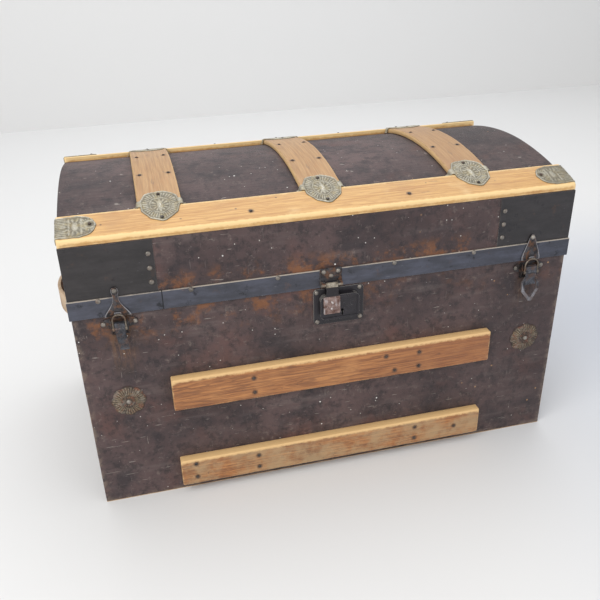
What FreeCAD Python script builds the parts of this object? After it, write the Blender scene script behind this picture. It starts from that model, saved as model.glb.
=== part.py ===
"""A dome-topped travelling trunk, with its lid, hardware, latches, lock and handles.

Frame: origin at the middle of the underside, +X along the length, +Z up, front towards -Y.
"""
import FreeCAD, Part
import Sketcher
import math
import os
import re
from types import SimpleNamespace
from FreeCAD import Placement, Rotation, Vector

DIMENSIONS = {
    # Case and lid
    "trunk_length": 711.0,
    "trunk_depth": 372.0,
    "body_rim": 308.8,
    "lid_rim": 309.2,
    "dome_radius": 548.0,
    "dome_crown": 443.0,
    "board_thick": 9.5,
    "stave_thick": 6.5,
    "stave_gap": 0.3,
    "cover_thick": 0.8,
    "lining_thick": 0.5,
    "lining_drop": 2.0,
    "cover_lift": 0.6,
    "cleat_width": 12.0,
    "cleat_length": 300.0,
    "cleat_height": 18.0,
    "cleat_level": 215.0,
    # Slats
    "slat_thick": 14.0,
    "slat_chamfer": 1.5,
    "upper_slat_height": 51.0,
    "upper_slat_length": 480.0,
    "lower_slat_height": 45.0,
    "lower_slat_length": 476.0,
    "dome_slat_thick": 8.0,
    "edge_slat_width": 50.0,
    "edge_slat_proud": 1.0,
    "cross_slat_width": 58.0,
    "joint_gap": 0.2,
    # Ironwork
    "tin_thick": 1.2,
    "plate_thin": 0.6,
    "band_thick": 2.0,
    "band_height": 27.0,
    "corner_plate_length": 114.5,
    "corner_plate_return": 66.0,
    "corner_plate_height": 73.0,
    "corner_clamp_level": 412.0,
    "rosette_radius": 24.0,
    "rosette_height": 3.5,
    # Nails and rivets
    "nail_radius": 2.4,
    "nail_height": 1.3,
    "rivet_radius": 3.6,
    "rivet_height": 2.2,
    # Lock and hasp
    "lock_width": 73.0,
    "lock_height": 56.0,
    "lock_thick": 1.5,
    "lock_level": 279.0,
    "lock_centre": 3.5,
    "case_width": 57.0,
    "case_height": 38.0,
    "case_depth": 8.0,
    "case_wall": 1.8,
    "case_face_wall": 1.2,
    "case_recess": 1.0,
    "case_rim": 3.5,
    "bolt_length": 14.0,
    "hasp_pin_radius": 1.5,
    "hasp_pin_level": 315.0,
    "hasp_pin_out": 6.6,
    "hasp_knuckle_radius": 3.0,
    "hasp_thick": 1.8,
    "hasp_out": 9.8,
    "hasp_centre": -8.0,
    # Draw latches
    "latch_offset": 296.0,
    "latch_sheet": 1.2,
    "lever_pin_radius": 1.25,
    "lever_pin_level": 300.0,
    "lever_pin_out": 6.0,
    "tongue_thick": 1.8,
    "ring_thick": 2.4,
    "link_pin_radius": 1.1,
    "link_pin_level": 293.0,
    "link_pin_out": 9.5,
    "link_wire": 1.2,
    "link_rise": 21.0,
    "link_eye_wall": 1.8,
    "catch_thick": 1.4,
    "catch_lip_width": 10.0,
    # Handles
    "strap_thick": 5.0,
    "strap_width": 32.0,
    "handle_level": 265.0,
    "handle_bow": 25.0,
    # Back hinges
    "hinge_offset": 200.0,
    "hinge_width": 40.0,
    "hinge_out": 5.6,
    "hinge_level": 309.0,
    "hinge_knuckle_radius": 3.2,
    "hinge_pin_radius": 1.8,
    "hinge_sheet": 1.4,
    "running_clearance": 0.05,
}
d = SimpleNamespace(**DIMENSIONS)

HALF_LENGTH = d.trunk_length / 2
HALF_DEPTH = d.trunk_depth / 2
DOME_CENTRE = d.dome_crown - d.dome_radius

doc = FreeCAD.newDocument("Trunk")
sheet = doc.addObject("Spreadsheet::Sheet", "Dimensions")
for row, (alias, number) in enumerate(DIMENSIONS.items(), start=1):
    sheet.set(f"A{row}", alias)
    sheet.set(f"B{row}", str(number))
    sheet.setAlias(f"B{row}", alias)
doc.recompute()

NODES = []
ALIAS = re.compile(r"[a-z]+(?:_[a-z]+)+")


# Helpers -------------------------------------------------------------------------------

def bind(thing, **sizes):
    """Bind properties to expressions written with the sheet's aliases."""
    for name, text in sizes.items():
        thing.setExpression(name, ALIAS.sub(lambda word: "Dimensions." + word.group(0), str(text)))


def place(thing, x="0", y="0", z="0", turn=None):
    """Put an object at an expression-bound place, with an optional rotation."""
    if turn:
        thing.Placement = Placement(Vector(), turn)
    for axis, text in zip("xyz", (x, y, z)):
        thing.setExpression(
            "Placement.Base." + axis,
            ALIAS.sub(lambda word: "Dimensions." + word.group(0), str(text)))
    return thing


def node(thing, name):
    """Give an object its node name and list it for writing."""
    thing.Label = name
    NODES.append(thing)
    return thing


def box(name, size, corner):
    solid = doc.addObject("Part::Box", name)
    bind(solid, Length=size[0], Width=size[1], Height=size[2])
    return place(solid, *corner)


def rod(name, radius, length, x, y, z):
    """A cylinder along +X from the given place."""
    solid = doc.addObject("Part::Cylinder", name)
    bind(solid, Radius=radius, Height=length)
    return place(solid, x, y, z, Rotation(Vector(0, 1, 0), 90))


def cut(name, base, tool):
    result = doc.addObject("Part::Cut", name)
    result.Base = base
    result.Tool = tool
    return result


def common(name, base, tool):
    result = doc.addObject("Part::Common", name)
    result.Base = base
    result.Tool = tool
    return result


def fuse(name, *shapes):
    result = doc.addObject("Part::MultiFuse", name)
    result.Shapes = list(shapes)
    return result


def group(name, shapes):
    """Several separate solids that share one node."""
    result = doc.addObject("Part::Compound", name)
    result.Links = list(shapes)
    return node(result, name)


def start_body(name):
    return doc.addObject("PartDesign::Body", name)


def sketch_on(body, role, name):
    plane = next(item for item in body.Origin.OriginFeatures if item.Role == role)
    sketch = body.newObject("Sketcher::SketchObject", name)
    sketch.AttachmentSupport = [(plane, "")]
    sketch.MapMode = "FlatFace"
    return sketch


def draw(sketch, points):
    """Draw a closed outline. A point marked "arc" is on the arc between its neighbours."""
    total = len(points)
    for index, point in enumerate(points):
        if point[-1] == "arc":
            continue
        after = points[(index + 1) % total]
        start = Vector(point[0], point[1])
        if after[-1] == "arc":
            end = points[(index + 2) % total]
            middle = Vector(after[0], after[1])
            sketch.addGeometry(Part.Arc(start, middle, Vector(end[0], end[1])), False)
        else:
            sketch.addGeometry(Part.LineSegment(start, Vector(after[0], after[1])), False)


def draw_rectangle(sketch, width, height):
    """A rectangle centred on the sketch's origin, its two sizes bound to the sheet."""
    corners = [(-1, -1), (1, -1), (1, 1), (-1, 1)]
    for first, second in zip(corners, corners[1:] + corners[:1]):
        sketch.addGeometry(Part.LineSegment(Vector(*first), Vector(*second)), False)
    for side in range(4):
        sketch.addConstraint(Sketcher.Constraint("Coincident", side, 2, (side + 1) % 4, 1))
    for side, way in enumerate(("Horizontal", "Vertical", "Horizontal", "Vertical")):
        sketch.addConstraint(Sketcher.Constraint(way, side))
    sketch.addConstraint(Sketcher.Constraint("Symmetric", 0, 1, 2, 1, -1, 1))
    for side, way, text in ((0, "DistanceX", width), (1, "DistanceY", height)):
        index = sketch.addConstraint(Sketcher.Constraint(way, side, 1, side, 2, 10.0))
        bind(sketch, **{f"Constraints[{index}]": text})


def pad(body, sketch, name, length, symmetric=False, reverse=False):
    feature = body.newObject("PartDesign::Pad", name)
    feature.Profile = sketch
    feature.SideType = "Symmetric" if symmetric else "One side"
    feature.Reversed = reverse
    bind(feature, Length=length)
    return feature


def pocket(body, sketch, name, length, symmetric=False, reverse=False):
    feature = body.newObject("PartDesign::Pocket", name)
    feature.Profile = sketch
    feature.SideType = "Symmetric" if symmetric else "One side"
    feature.Reversed = reverse
    bind(feature, Length=length)
    return feature


def padded(name, role, points, length, symmetric=False, reverse=False):
    """A body with one padded outline on one of its origin planes."""
    body = start_body(name)
    sketch = sketch_on(body, role, name + "_outline")
    draw(sketch, points)
    pad(body, sketch, name + "_pad", length, symmetric, reverse)
    return body


def rounded(width, height, radius, x=0.0, z=0.0):
    """Outline of a rectangle with round corners, centred at (x, z)."""
    near = radius * (1 - math.sqrt(0.5))
    outline = []
    for sx, sz in ((1, 1), (-1, 1), (-1, -1), (1, -1)):
        side, top = sx * width / 2, sz * height / 2
        on_side = (x + side, z + top - sz * radius)
        on_top = (x + side - sx * radius, z + top)
        bend = (x + side - sx * near, z + top - sz * near, "arc")
        outline += [on_side, bend, on_top] if sx == sz else [on_top, bend, on_side]
    return outline


def dome_height(y, radius):
    """Height of an arc about the dome's axis at depth y."""
    return DOME_CENTRE + math.sqrt(radius ** 2 - y ** 2)


def dome_rod(name, radius):
    """A long cylinder about the dome's axis."""
    return rod(name, radius, "trunk_length+60", "-trunk_length/2-30", "0",
               "dome_crown-dome_radius")


def dome_shell(name, inner, outer, block):
    """The part of a block that lies between two radii about the dome's axis."""
    ring = cut(name + "_ring", dome_rod(name + "_outer", outer), dome_rod(name + "_inner", inner))
    return common(name, ring, block)


FRONT = (0, -1, 0)
BACK = (0, 1, 0)
HEAD_SLOPES = (("skirt", 1.0, 0.85, 0.55, 0.0), ("crown", 0.85, 0.4, 0.45, 0.55))


def heads(name, radius, height, seats):
    """Nail or rivet heads, one separate solid for each (place, outward direction).

    A head has a steep skirt and a flatter crown, given as shares of its radius and height.
    """
    solids = []
    for index, (spot, direction) in enumerate(seats):
        outward = Vector(*direction)
        turn = Rotation(Vector(0, 0, 1), outward)
        slopes = []
        for part, wide, narrow, rise, base in HEAD_SLOPES:
            cone = doc.addObject("Part::Cone", f"{name}_{part}_{index + 1}")
            bind(cone, Radius1=f"{radius}*{wide}", Radius2=f"{radius}*{narrow}",
                 Height=f"{height}*{rise}")
            lift = outward * (DIMENSIONS[height] * base)
            cone.Placement = Placement(Vector(*spot) + lift, turn)
            slopes.append(cone)
        solids.append(fuse(f"{name}_{index + 1}", *slopes))
    return group(name, solids)



def on_front(x, z, out):
    return (x, -HALF_DEPTH - out, z), FRONT


def on_back(x, z, out):
    return (x, HALF_DEPTH + out, z), BACK


def on_end(side, y, z, out):
    return (side * (HALF_LENGTH + out), y, z), (side, 0, 0)


def on_dome(x, y, radius):
    """A seat on the arc of the given radius, at plan position (x, y)."""
    top = dome_height(y, radius)
    return (x, y, top), (0, y / radius, (top - DOME_CENTRE) / radius)


# Case ----------------------------------------------------------------------------------

def make_case():
    inner_x = "-trunk_length/2+cover_thick"
    inner_y = "-trunk_depth/2+cover_thick"
    full = "trunk_length-2*cover_thick"
    deep = "trunk_depth-2*cover_thick"
    node(box("bottom", (full, deep, "board_thick"), (inner_x, inner_y, "0")), "bottom_board")
    wall = "body_rim-board_thick"
    node(box("front", (full, "board_thick", wall), (inner_x, inner_y, "board_thick")),
         "front_board")
    node(box("back", (full, "board_thick", wall),
             (inner_x, "trunk_depth/2-cover_thick-board_thick", "board_thick")), "back_board")
    end_depth = "trunk_depth-2*cover_thick-2*board_thick"
    end_y = "-trunk_depth/2+cover_thick+board_thick"
    node(box("left_end", ("board_thick", end_depth, wall), (inner_x, end_y, "board_thick")),
         "left_end_board")
    node(box("right_end", ("board_thick", end_depth, wall),
             ("trunk_length/2-cover_thick-board_thick", end_y, "board_thick")),
         "right_end_board")
    outer = box("cover_outer", ("trunk_length", "trunk_depth", "body_rim-cover_lift"),
                ("-trunk_length/2", "-trunk_depth/2", "cover_lift"))
    inner = box("cover_inner", (full, deep, "body_rim+20"), (inner_x, inner_y, "-10"))
    node(cut("cover", outer, inner), "body_covering")
    room = "trunk_length-2*cover_thick-2*board_thick"
    outer = box("lining_outer", (room, end_depth, "body_rim-board_thick-lining_drop"),
                ("-trunk_length/2+cover_thick+board_thick", end_y, "board_thick"))
    inner = box("lining_inner", (room + "-2*lining_thick", end_depth + "-2*lining_thick",
                                 "body_rim"),
                ("-trunk_length/2+cover_thick+board_thick+lining_thick", end_y + "+lining_thick",
                 "board_thick-10"))
    node(cut("lining", outer, inner), "body_lining")
    edge = "trunk_length/2-cover_thick-board_thick-lining_thick"
    cleats = [
        box("left_cleat", ("cleat_width", "cleat_length", "cleat_height"),
            ("-(" + edge + ")", "-cleat_length/2", "cleat_level")),
        box("right_cleat", ("cleat_width", "cleat_length", "cleat_height"),
            (edge + "-cleat_width", "-cleat_length/2", "cleat_level")),
    ]
    group("tray_cleats", cleats)


# Slats on the case ---------------------------------------------------------------------

UPPER_SLAT = SimpleNamespace(x=0.0, z=177.5, length="upper_slat_length",
                             height="upper_slat_height")
LOWER_SLAT = SimpleNamespace(x=-3.0, z=38.5, length="lower_slat_length",
                             height="lower_slat_height")


def make_case_slat(name, slat, back):
    """A board with chamfered outer edges, on the front or the back of the case."""
    body = start_body(name + "_body")
    sketch = sketch_on(body, "XZ_Plane", name + "_outline")
    draw_rectangle(sketch, slat.length, slat.height)
    block = pad(body, sketch, name + "_pad", "slat_thick")
    doc.recompute()
    face_y = -d.slat_thick
    outer = [f"Edge{index}" for index, edge in enumerate(block.Shape.Edges, start=1)
             if all(abs(vertex.Y - face_y) < 0.01 for vertex in edge.Vertexes)]
    chamfer = body.newObject("PartDesign::Chamfer", name + "_chamfer")
    chamfer.Base = (block, outer)
    bind(chamfer, Size="slat_chamfer")
    turn = Rotation(Vector(0, 0, 1), 180) if back else None
    place(body, slat.x, "trunk_depth/2" if back else "-trunk_depth/2", slat.z, turn)
    node(body, name)


def make_case_slats():
    for side, back in (("front", False), ("back", True)):
        make_case_slat(side + "_slat_upper", UPPER_SLAT, back)
        make_case_slat(side + "_slat_lower", LOWER_SLAT, back)


# Lid -----------------------------------------------------------------------------------

def dome_profile(half_depth, low, radius):
    """Section of the lid: upright sides and an arched top."""
    top = dome_height(half_depth, radius)
    return [(-half_depth, low), (half_depth, low), (half_depth, top),
            (0, DOME_CENTRE + radius, "arc"), (-half_depth, top)]


def wall_profile(side, outer, inner, radius):
    """Section of the lid's front or back wall, its top edge cut to the dome."""
    middle = (outer + inner) / 2
    return [(side * outer, d.lid_rim), (side * outer, dome_height(outer, radius)),
            (side * middle, dome_height(middle, radius), "arc"),
            (side * inner, dome_height(inner, radius)), (side * inner, d.lid_rim)]


def make_lid_box():
    under = d.dome_radius - d.cover_thick - d.stave_thick
    outer = HALF_DEPTH - d.cover_thick
    inner = outer - d.board_thick
    for name, side in (("lid_front_board", -1), ("lid_back_board", 1)):
        node(padded(name + "_body", "YZ_Plane", wall_profile(side, outer, inner, under),
                    "trunk_length-2*cover_thick", symmetric=True), name)
    for name, x in (("lid_left_end", "-trunk_length/2+cover_thick"),
                    ("lid_right_end", "trunk_length/2-cover_thick-board_thick")):
        end = padded(name + "_body", "YZ_Plane", dome_profile(inner, d.lid_rim, under),
                     "board_thick")
        node(place(end, x), name)
    make_staves()
    shell = padded("lid_cover", "YZ_Plane", dome_profile(HALF_DEPTH, d.lid_rim, d.dome_radius),
                   "trunk_length", symmetric=True)
    hollow = sketch_on(shell, "YZ_Plane", "lid_cover_hollow")
    draw(hollow, dome_profile(outer, d.lid_rim - 1, d.dome_radius - d.cover_thick))
    pocket(shell, hollow, "lid_cover_pocket", "trunk_length-2*cover_thick", symmetric=True)
    node(shell, "lid_covering")


def make_staves():
    """The arched top: narrow boards side by side, running the length of the lid."""
    count = 8
    outer_radius = d.dome_radius - d.cover_thick
    half_angle = math.degrees(math.asin((HALF_DEPTH - d.cover_thick) / outer_radius))
    step = 2 * half_angle / count
    ring = cut("stave_ring", dome_rod("stave_outer", "dome_radius-cover_thick"),
               dome_rod("stave_inner", "dome_radius-cover_thick-stave_thick"))
    slots = []
    for index in range(1, count):
        turn = Rotation(Vector(1, 0, 0), half_angle - index * step)
        aside = turn.multVec(Vector(0, -d.stave_gap / 2, 0))
        slot = box(f"stave_slot_{index}", ("trunk_length+60", "stave_gap", "dome_radius+60"),
                   ("0", "0", "0"))
        slots.append(place(slot, "-trunk_length/2-30", aside.y,
                           f"dome_crown-dome_radius+{aside.z}", turn))
    blank = common("stave_blank", ring,
                   box("stave_block",
                       ("trunk_length-2*cover_thick", "trunk_depth-2*cover_thick", "200"),
                       ("-trunk_length/2+cover_thick", "-trunk_depth/2+cover_thick", "320")))
    node(cut("staves", blank, fuse("stave_slots", *slots)), "lid_staves")


CROSS_SLATS = (("cross_slat_left", -224.0), ("cross_slat_middle", -4.0),
               ("cross_slat_right", 216.0))
BLOCK_FLOOR = "350"
BLOCK_RISE = "150"


def make_dome_slats():
    """Long slats on the front and back edges of the dome, and three bent ones between them."""
    low = "dome_radius"
    high = "dome_radius+dome_slat_thick"
    width = "edge_slat_width+edge_slat_proud"
    for name, y in (("lid_front_slat", "-trunk_depth/2-edge_slat_proud"),
                    ("lid_back_slat", "trunk_depth/2-edge_slat_width")):
        block = box(name + "_block", ("trunk_length", width, BLOCK_RISE),
                    ("-trunk_length/2", y, BLOCK_FLOOR))
        node(dome_shell(name + "_shape", low, high, block), name)
    for name, x in CROSS_SLATS:
        block = box(name + "_block",
                    ("cross_slat_width", "trunk_depth-2*edge_slat_width-2*joint_gap",
                     BLOCK_RISE),
                    (f"{x}-cross_slat_width/2", "-trunk_depth/2+edge_slat_width+joint_gap",
                     BLOCK_FLOOR))
        node(dome_shell(name + "_shape", low, high, block), name)



SHIELD = [(-9, 34), (9, 34), (20, 28), (26, 15), (27, 0), (24, -14), (15, -26), (0, -35),
          (-15, -26), (-24, -14), (-27, 0), (-26, 15), (-20, 28)]
CLAMP_NAIL_REACH = 26.0
WING_LENGTH = 14.0
BRIDGE_LENGTH = 10.0
WING_ASIDE = 8.0


def make_slat_clamps():
    """Pressed tin clamps, one over each joint of a cross slat and an edge slat."""
    low = "dome_radius+dome_slat_thick"
    high = "dome_radius+dome_slat_thick+tin_thick"
    for name, side in (("front_slat_clamps", -1), ("back_slat_clamps", 1)):
        clamps = []
        for label, x in CROSS_SLATS:
            part = f"{name}_{label}"
            outline = [(px, -side * py) for px, py in SHIELD]
            prism = padded(part + "_prism", "XY_Plane", outline, BLOCK_RISE)
            joint = side * (HALF_DEPTH - d.edge_slat_width)
            place(prism, x, joint, BLOCK_FLOOR)
            plate = dome_shell(part + "_plate", low, high, prism)
            tabs = []
            for hand in (-1, 1):
                tab_x = x + hand * (d.cross_slat_width + d.tin_thick) / 2
                block = box(f"{part}_tab_{hand + 1}", ("tin_thick", WING_LENGTH, BLOCK_RISE),
                            (f"{tab_x}-tin_thick/2",
                             joint - WING_LENGTH / 2 - side * WING_ASIDE, BLOCK_FLOOR))
                tabs.append(dome_shell(f"{part}_wing_{hand + 1}", "dome_radius+joint_gap", high,
                                       block))
            bridge = box(part + "_bridge_block",
                         ("cross_slat_width+2*tin_thick", BRIDGE_LENGTH, BLOCK_RISE),
                         (f"{x}-cross_slat_width/2-tin_thick",
                          joint - BRIDGE_LENGTH / 2 - side * WING_ASIDE, BLOCK_FLOOR))
            strip = dome_shell(part + "_bridge", low, high, bridge)
            clamps.append(fuse(part + "_whole", plate, strip, *tabs))
        group(name, clamps)


LOBE = [(-1.2, 3), (28, 3), (39, 6), (47, 13), (50, 24), (47, 35), (39, 42), (28, 45), (-1.2, 45)]


def make_corner_clamps():
    """Pressed tin tongues on the four ends of the two edge slats, turned down over the ends.

    LOBE gives the outline as distances in from the trunk's end and from its long edge.
    """
    caps = []
    for side in (-1, 1):
        for front in (-1, 1):
            part = f"corner_cap_{side + 1}_{front + 1}"
            outline = [(side * (HALF_LENGTH - along), front * (HALF_DEPTH - inward))
                       for along, inward in LOBE]
            prism = padded(part + "_prism", "XY_Plane", outline, BLOCK_RISE)
            place(prism, z="corner_clamp_level")
            skin = common(part + "_skin", prism,
                          dome_rod(part + "_top", "dome_radius+dome_slat_thick+tin_thick"))
            inside = box(part + "_core_block",
                         ("trunk_length", "trunk_depth+2*edge_slat_proud", BLOCK_RISE),
                         ("-trunk_length/2", "-trunk_depth/2-edge_slat_proud", BLOCK_FLOOR))
            core = common(part + "_core", inside,
                          dome_rod(part + "_core_top", "dome_radius+dome_slat_thick"))
            caps.append(cut(part, skin, core))
    group("corner_clamps", caps)


def make_lid_iron():
    """The iron band round the lid's lower edge, and the black plates round its corners."""
    outer = box("band_outer",
                ("trunk_length+2*band_thick", "trunk_depth+2*band_thick", "band_height"),
                ("-trunk_length/2-band_thick", "-trunk_depth/2-band_thick", "lid_rim"))
    inner = box("band_inner", ("trunk_length", "trunk_depth", "band_height+20"),
                ("-trunk_length/2", "-trunk_depth/2", "lid_rim-10"))
    node(cut("band", outer, inner), "lid_band")
    plates = []
    for side in (-1, 1):
        for front in (-1, 1):
            part = f"corner_plate_{side + 1}_{front + 1}"
            size = ("corner_plate_length+plate_thin", "corner_plate_return+plate_thin",
                    "corner_plate_height")
            x = "-trunk_length/2-plate_thin" if side < 0 else "trunk_length/2-corner_plate_length"
            y = "-trunk_depth/2-plate_thin" if front < 0 else "trunk_depth/2-corner_plate_return"
            sheet_block = box(part + "_sheet", size, (x, y, "lid_rim+band_height+joint_gap"))
            inside = box(part + "_inside", ("trunk_length", "trunk_depth", "200"),
                         ("-trunk_length/2", "-trunk_depth/2", "300"))
            plates.append(cut(part, sheet_block, inside))
    group("lid_corner_plates", plates)


# Lock and hasp -------------------------------------------------------------------------

STAPLE = SimpleNamespace(x=-9.0, low=278.0, high=289.0, width=3.6, slot_width=7.0, deep_out=2.2,
                         wire=1.6, eye_out=5.6, bolt_thick=2.0)
KEYHOLE = SimpleNamespace(x=7.0, z=274.0, radius=2.2, slit=2.0, drop=8.0)


def make_lock():
    """Lock plate, raised case with a sunk face, a bolt, and a slot for the hasp's staple."""
    plate = padded("lock_plate_body", "XZ_Plane",
                   rounded(d.lock_width, d.lock_height, 6.0, d.lock_centre, d.lock_level),
                   "lock_thick")
    node(place(plate, y="-trunk_depth/2"), "lock_plate")

    case = start_body("lock_case_body")
    place(case, y="-trunk_depth/2-lock_thick")
    outline = sketch_on(case, "XZ_Plane", "case_outline")
    draw(outline, rounded(d.case_width, d.case_height, 9.0, d.lock_centre, d.lock_level + 1))
    pad(case, outline, "case_pad", "case_depth")
    hollow = sketch_on(case, "XZ_Plane", "case_hollow")
    draw(hollow, rounded(d.case_width - 2 * d.case_wall, d.case_height - 2 * d.case_wall, 7.2,
                         d.lock_centre, d.lock_level + 1))
    pocket(case, hollow, "case_cavity", "case_depth-case_recess-case_face_wall", reverse=True)
    face = box("case_face_cut", ("case_width-2*case_rim", "case_recess+1", "case_height-2*case_rim"),
               ("lock_centre-case_width/2+case_rim",
                "-trunk_depth/2-lock_thick-case_depth-1",
                "lock_level+1-case_height/2+case_rim"))
    slot = box("staple_slot", (STAPLE.slot_width, "case_depth", "60"),
               (STAPLE.x - STAPLE.slot_width / 2, "-trunk_depth/2-lock_thick-case_depth-1",
                STAPLE.low - 1.5))
    through = "lock_thick+case_depth+1"
    keyhole = doc.addObject("Part::Cylinder", "keyhole_round")
    bind(keyhole, Radius=KEYHOLE.radius, Height=through)
    place(keyhole, KEYHOLE.x, "-trunk_depth/2", KEYHOLE.z, Rotation(Vector(1, 0, 0), 90))
    slit = box("keyhole_slit", (KEYHOLE.slit, through, KEYHOLE.drop),
               (KEYHOLE.x - KEYHOLE.slit / 2, "-trunk_depth/2-(" + through + ")",
                KEYHOLE.z - KEYHOLE.drop))
    node(cut("lock_case_shape", case, fuse("case_cuts", face, slot, keyhole, slit)), "lock_case")
    node(box("lock_bolt_shape", ("bolt_length", STAPLE.bolt_thick, STAPLE.bolt_thick),
             (STAPLE.x + STAPLE.width / 2 + 1.5,
              f"-trunk_depth/2-{STAPLE.eye_out + STAPLE.bolt_thick / 2}",
              (STAPLE.low + STAPLE.high - STAPLE.bolt_thick) / 2)), "lock_bolt")


def make_hasp():
    """Hasp plate and strap on a knuckle, its staple behind, and the bracket that carries it."""
    pin_y = "-trunk_depth/2-hasp_pin_out"
    back = -HALF_DEPTH - d.hasp_out
    face = back - d.hasp_thick
    pin_front = -HALF_DEPTH - d.hasp_pin_out
    strap_profile = [
        (pin_front - 0.6, d.hasp_pin_level - 1.8), (pin_front - 2.6, d.hasp_pin_level - 0.8),
        (face, 299.0), (face, 296.5), (back, 296.5), (back, 299.0)]
    strap = padded("hasp_strap", "YZ_Plane", strap_profile, "17", symmetric=True)
    place(strap, "hasp_centre")
    square = padded("hasp_square", "XZ_Plane", rounded(24.0, 27.0, 2.0, d.hasp_centre - 1.0, 285.0),
                    "hasp_thick")
    place(square, y="-trunk_depth/2-hasp_out")
    knuckle = rod("hasp_knuckle", "hasp_knuckle_radius", "17", "hasp_centre-8.5", pin_y,
                  "hasp_pin_level")
    bore = rod("hasp_bore", "hasp_pin_radius+running_clearance", "40", "hasp_centre-20", pin_y,
               "hasp_pin_level")
    node(cut("hasp_shape", fuse("hasp_whole", strap, square, knuckle), bore), "hasp")

    depth = d.hasp_out - STAPLE.deep_out
    staple = box("staple_block", (STAPLE.width, depth, STAPLE.high - STAPLE.low),
                 (STAPLE.x - STAPLE.width / 2, "-trunk_depth/2-hasp_out", STAPLE.low))
    eye = box("staple_eye", (STAPLE.width + 4, depth - STAPLE.wire,
                             STAPLE.high - STAPLE.low - 2 * STAPLE.wire),
              (STAPLE.x - STAPLE.width / 2 - 2, "-trunk_depth/2-hasp_out",
               STAPLE.low + STAPLE.wire))
    node(cut("staple_shape", staple, eye), "hasp_staple")

    leaf = padded("bracket_leaf", "XZ_Plane", rounded(31.0, 20.0, 1.5, d.hasp_centre, 328.5), "1.4")
    place(leaf, y="-trunk_depth/2-band_thick")
    lugs = []
    for side in (-1, 1):
        centre = d.hasp_centre + side * 12.2
        lugs.append(rod(f"bracket_knuckle_{side + 1}", "hasp_knuckle_radius", "6.6",
                        centre - 3.3, pin_y, "hasp_pin_level"))
        lugs.append(box(f"bracket_lug_{side + 1}", ("6.6", "hasp_pin_out-band_thick", "5"),
                        (centre - 3.3, pin_y, "hasp_pin_level")))
    bored = cut("bracket_bored", fuse("bracket_whole", leaf, *lugs),
                rod("bracket_bore", "hasp_pin_radius", "60", "hasp_centre-30", pin_y,
                    "hasp_pin_level"))
    node(bored, "hasp_bracket")
    node(rod("hasp_pin_rod", "hasp_pin_radius", "32", "hasp_centre-16", pin_y, "hasp_pin_level"),
         "hasp_pin")


# Draw latches --------------------------------------------------------------------------

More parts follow.
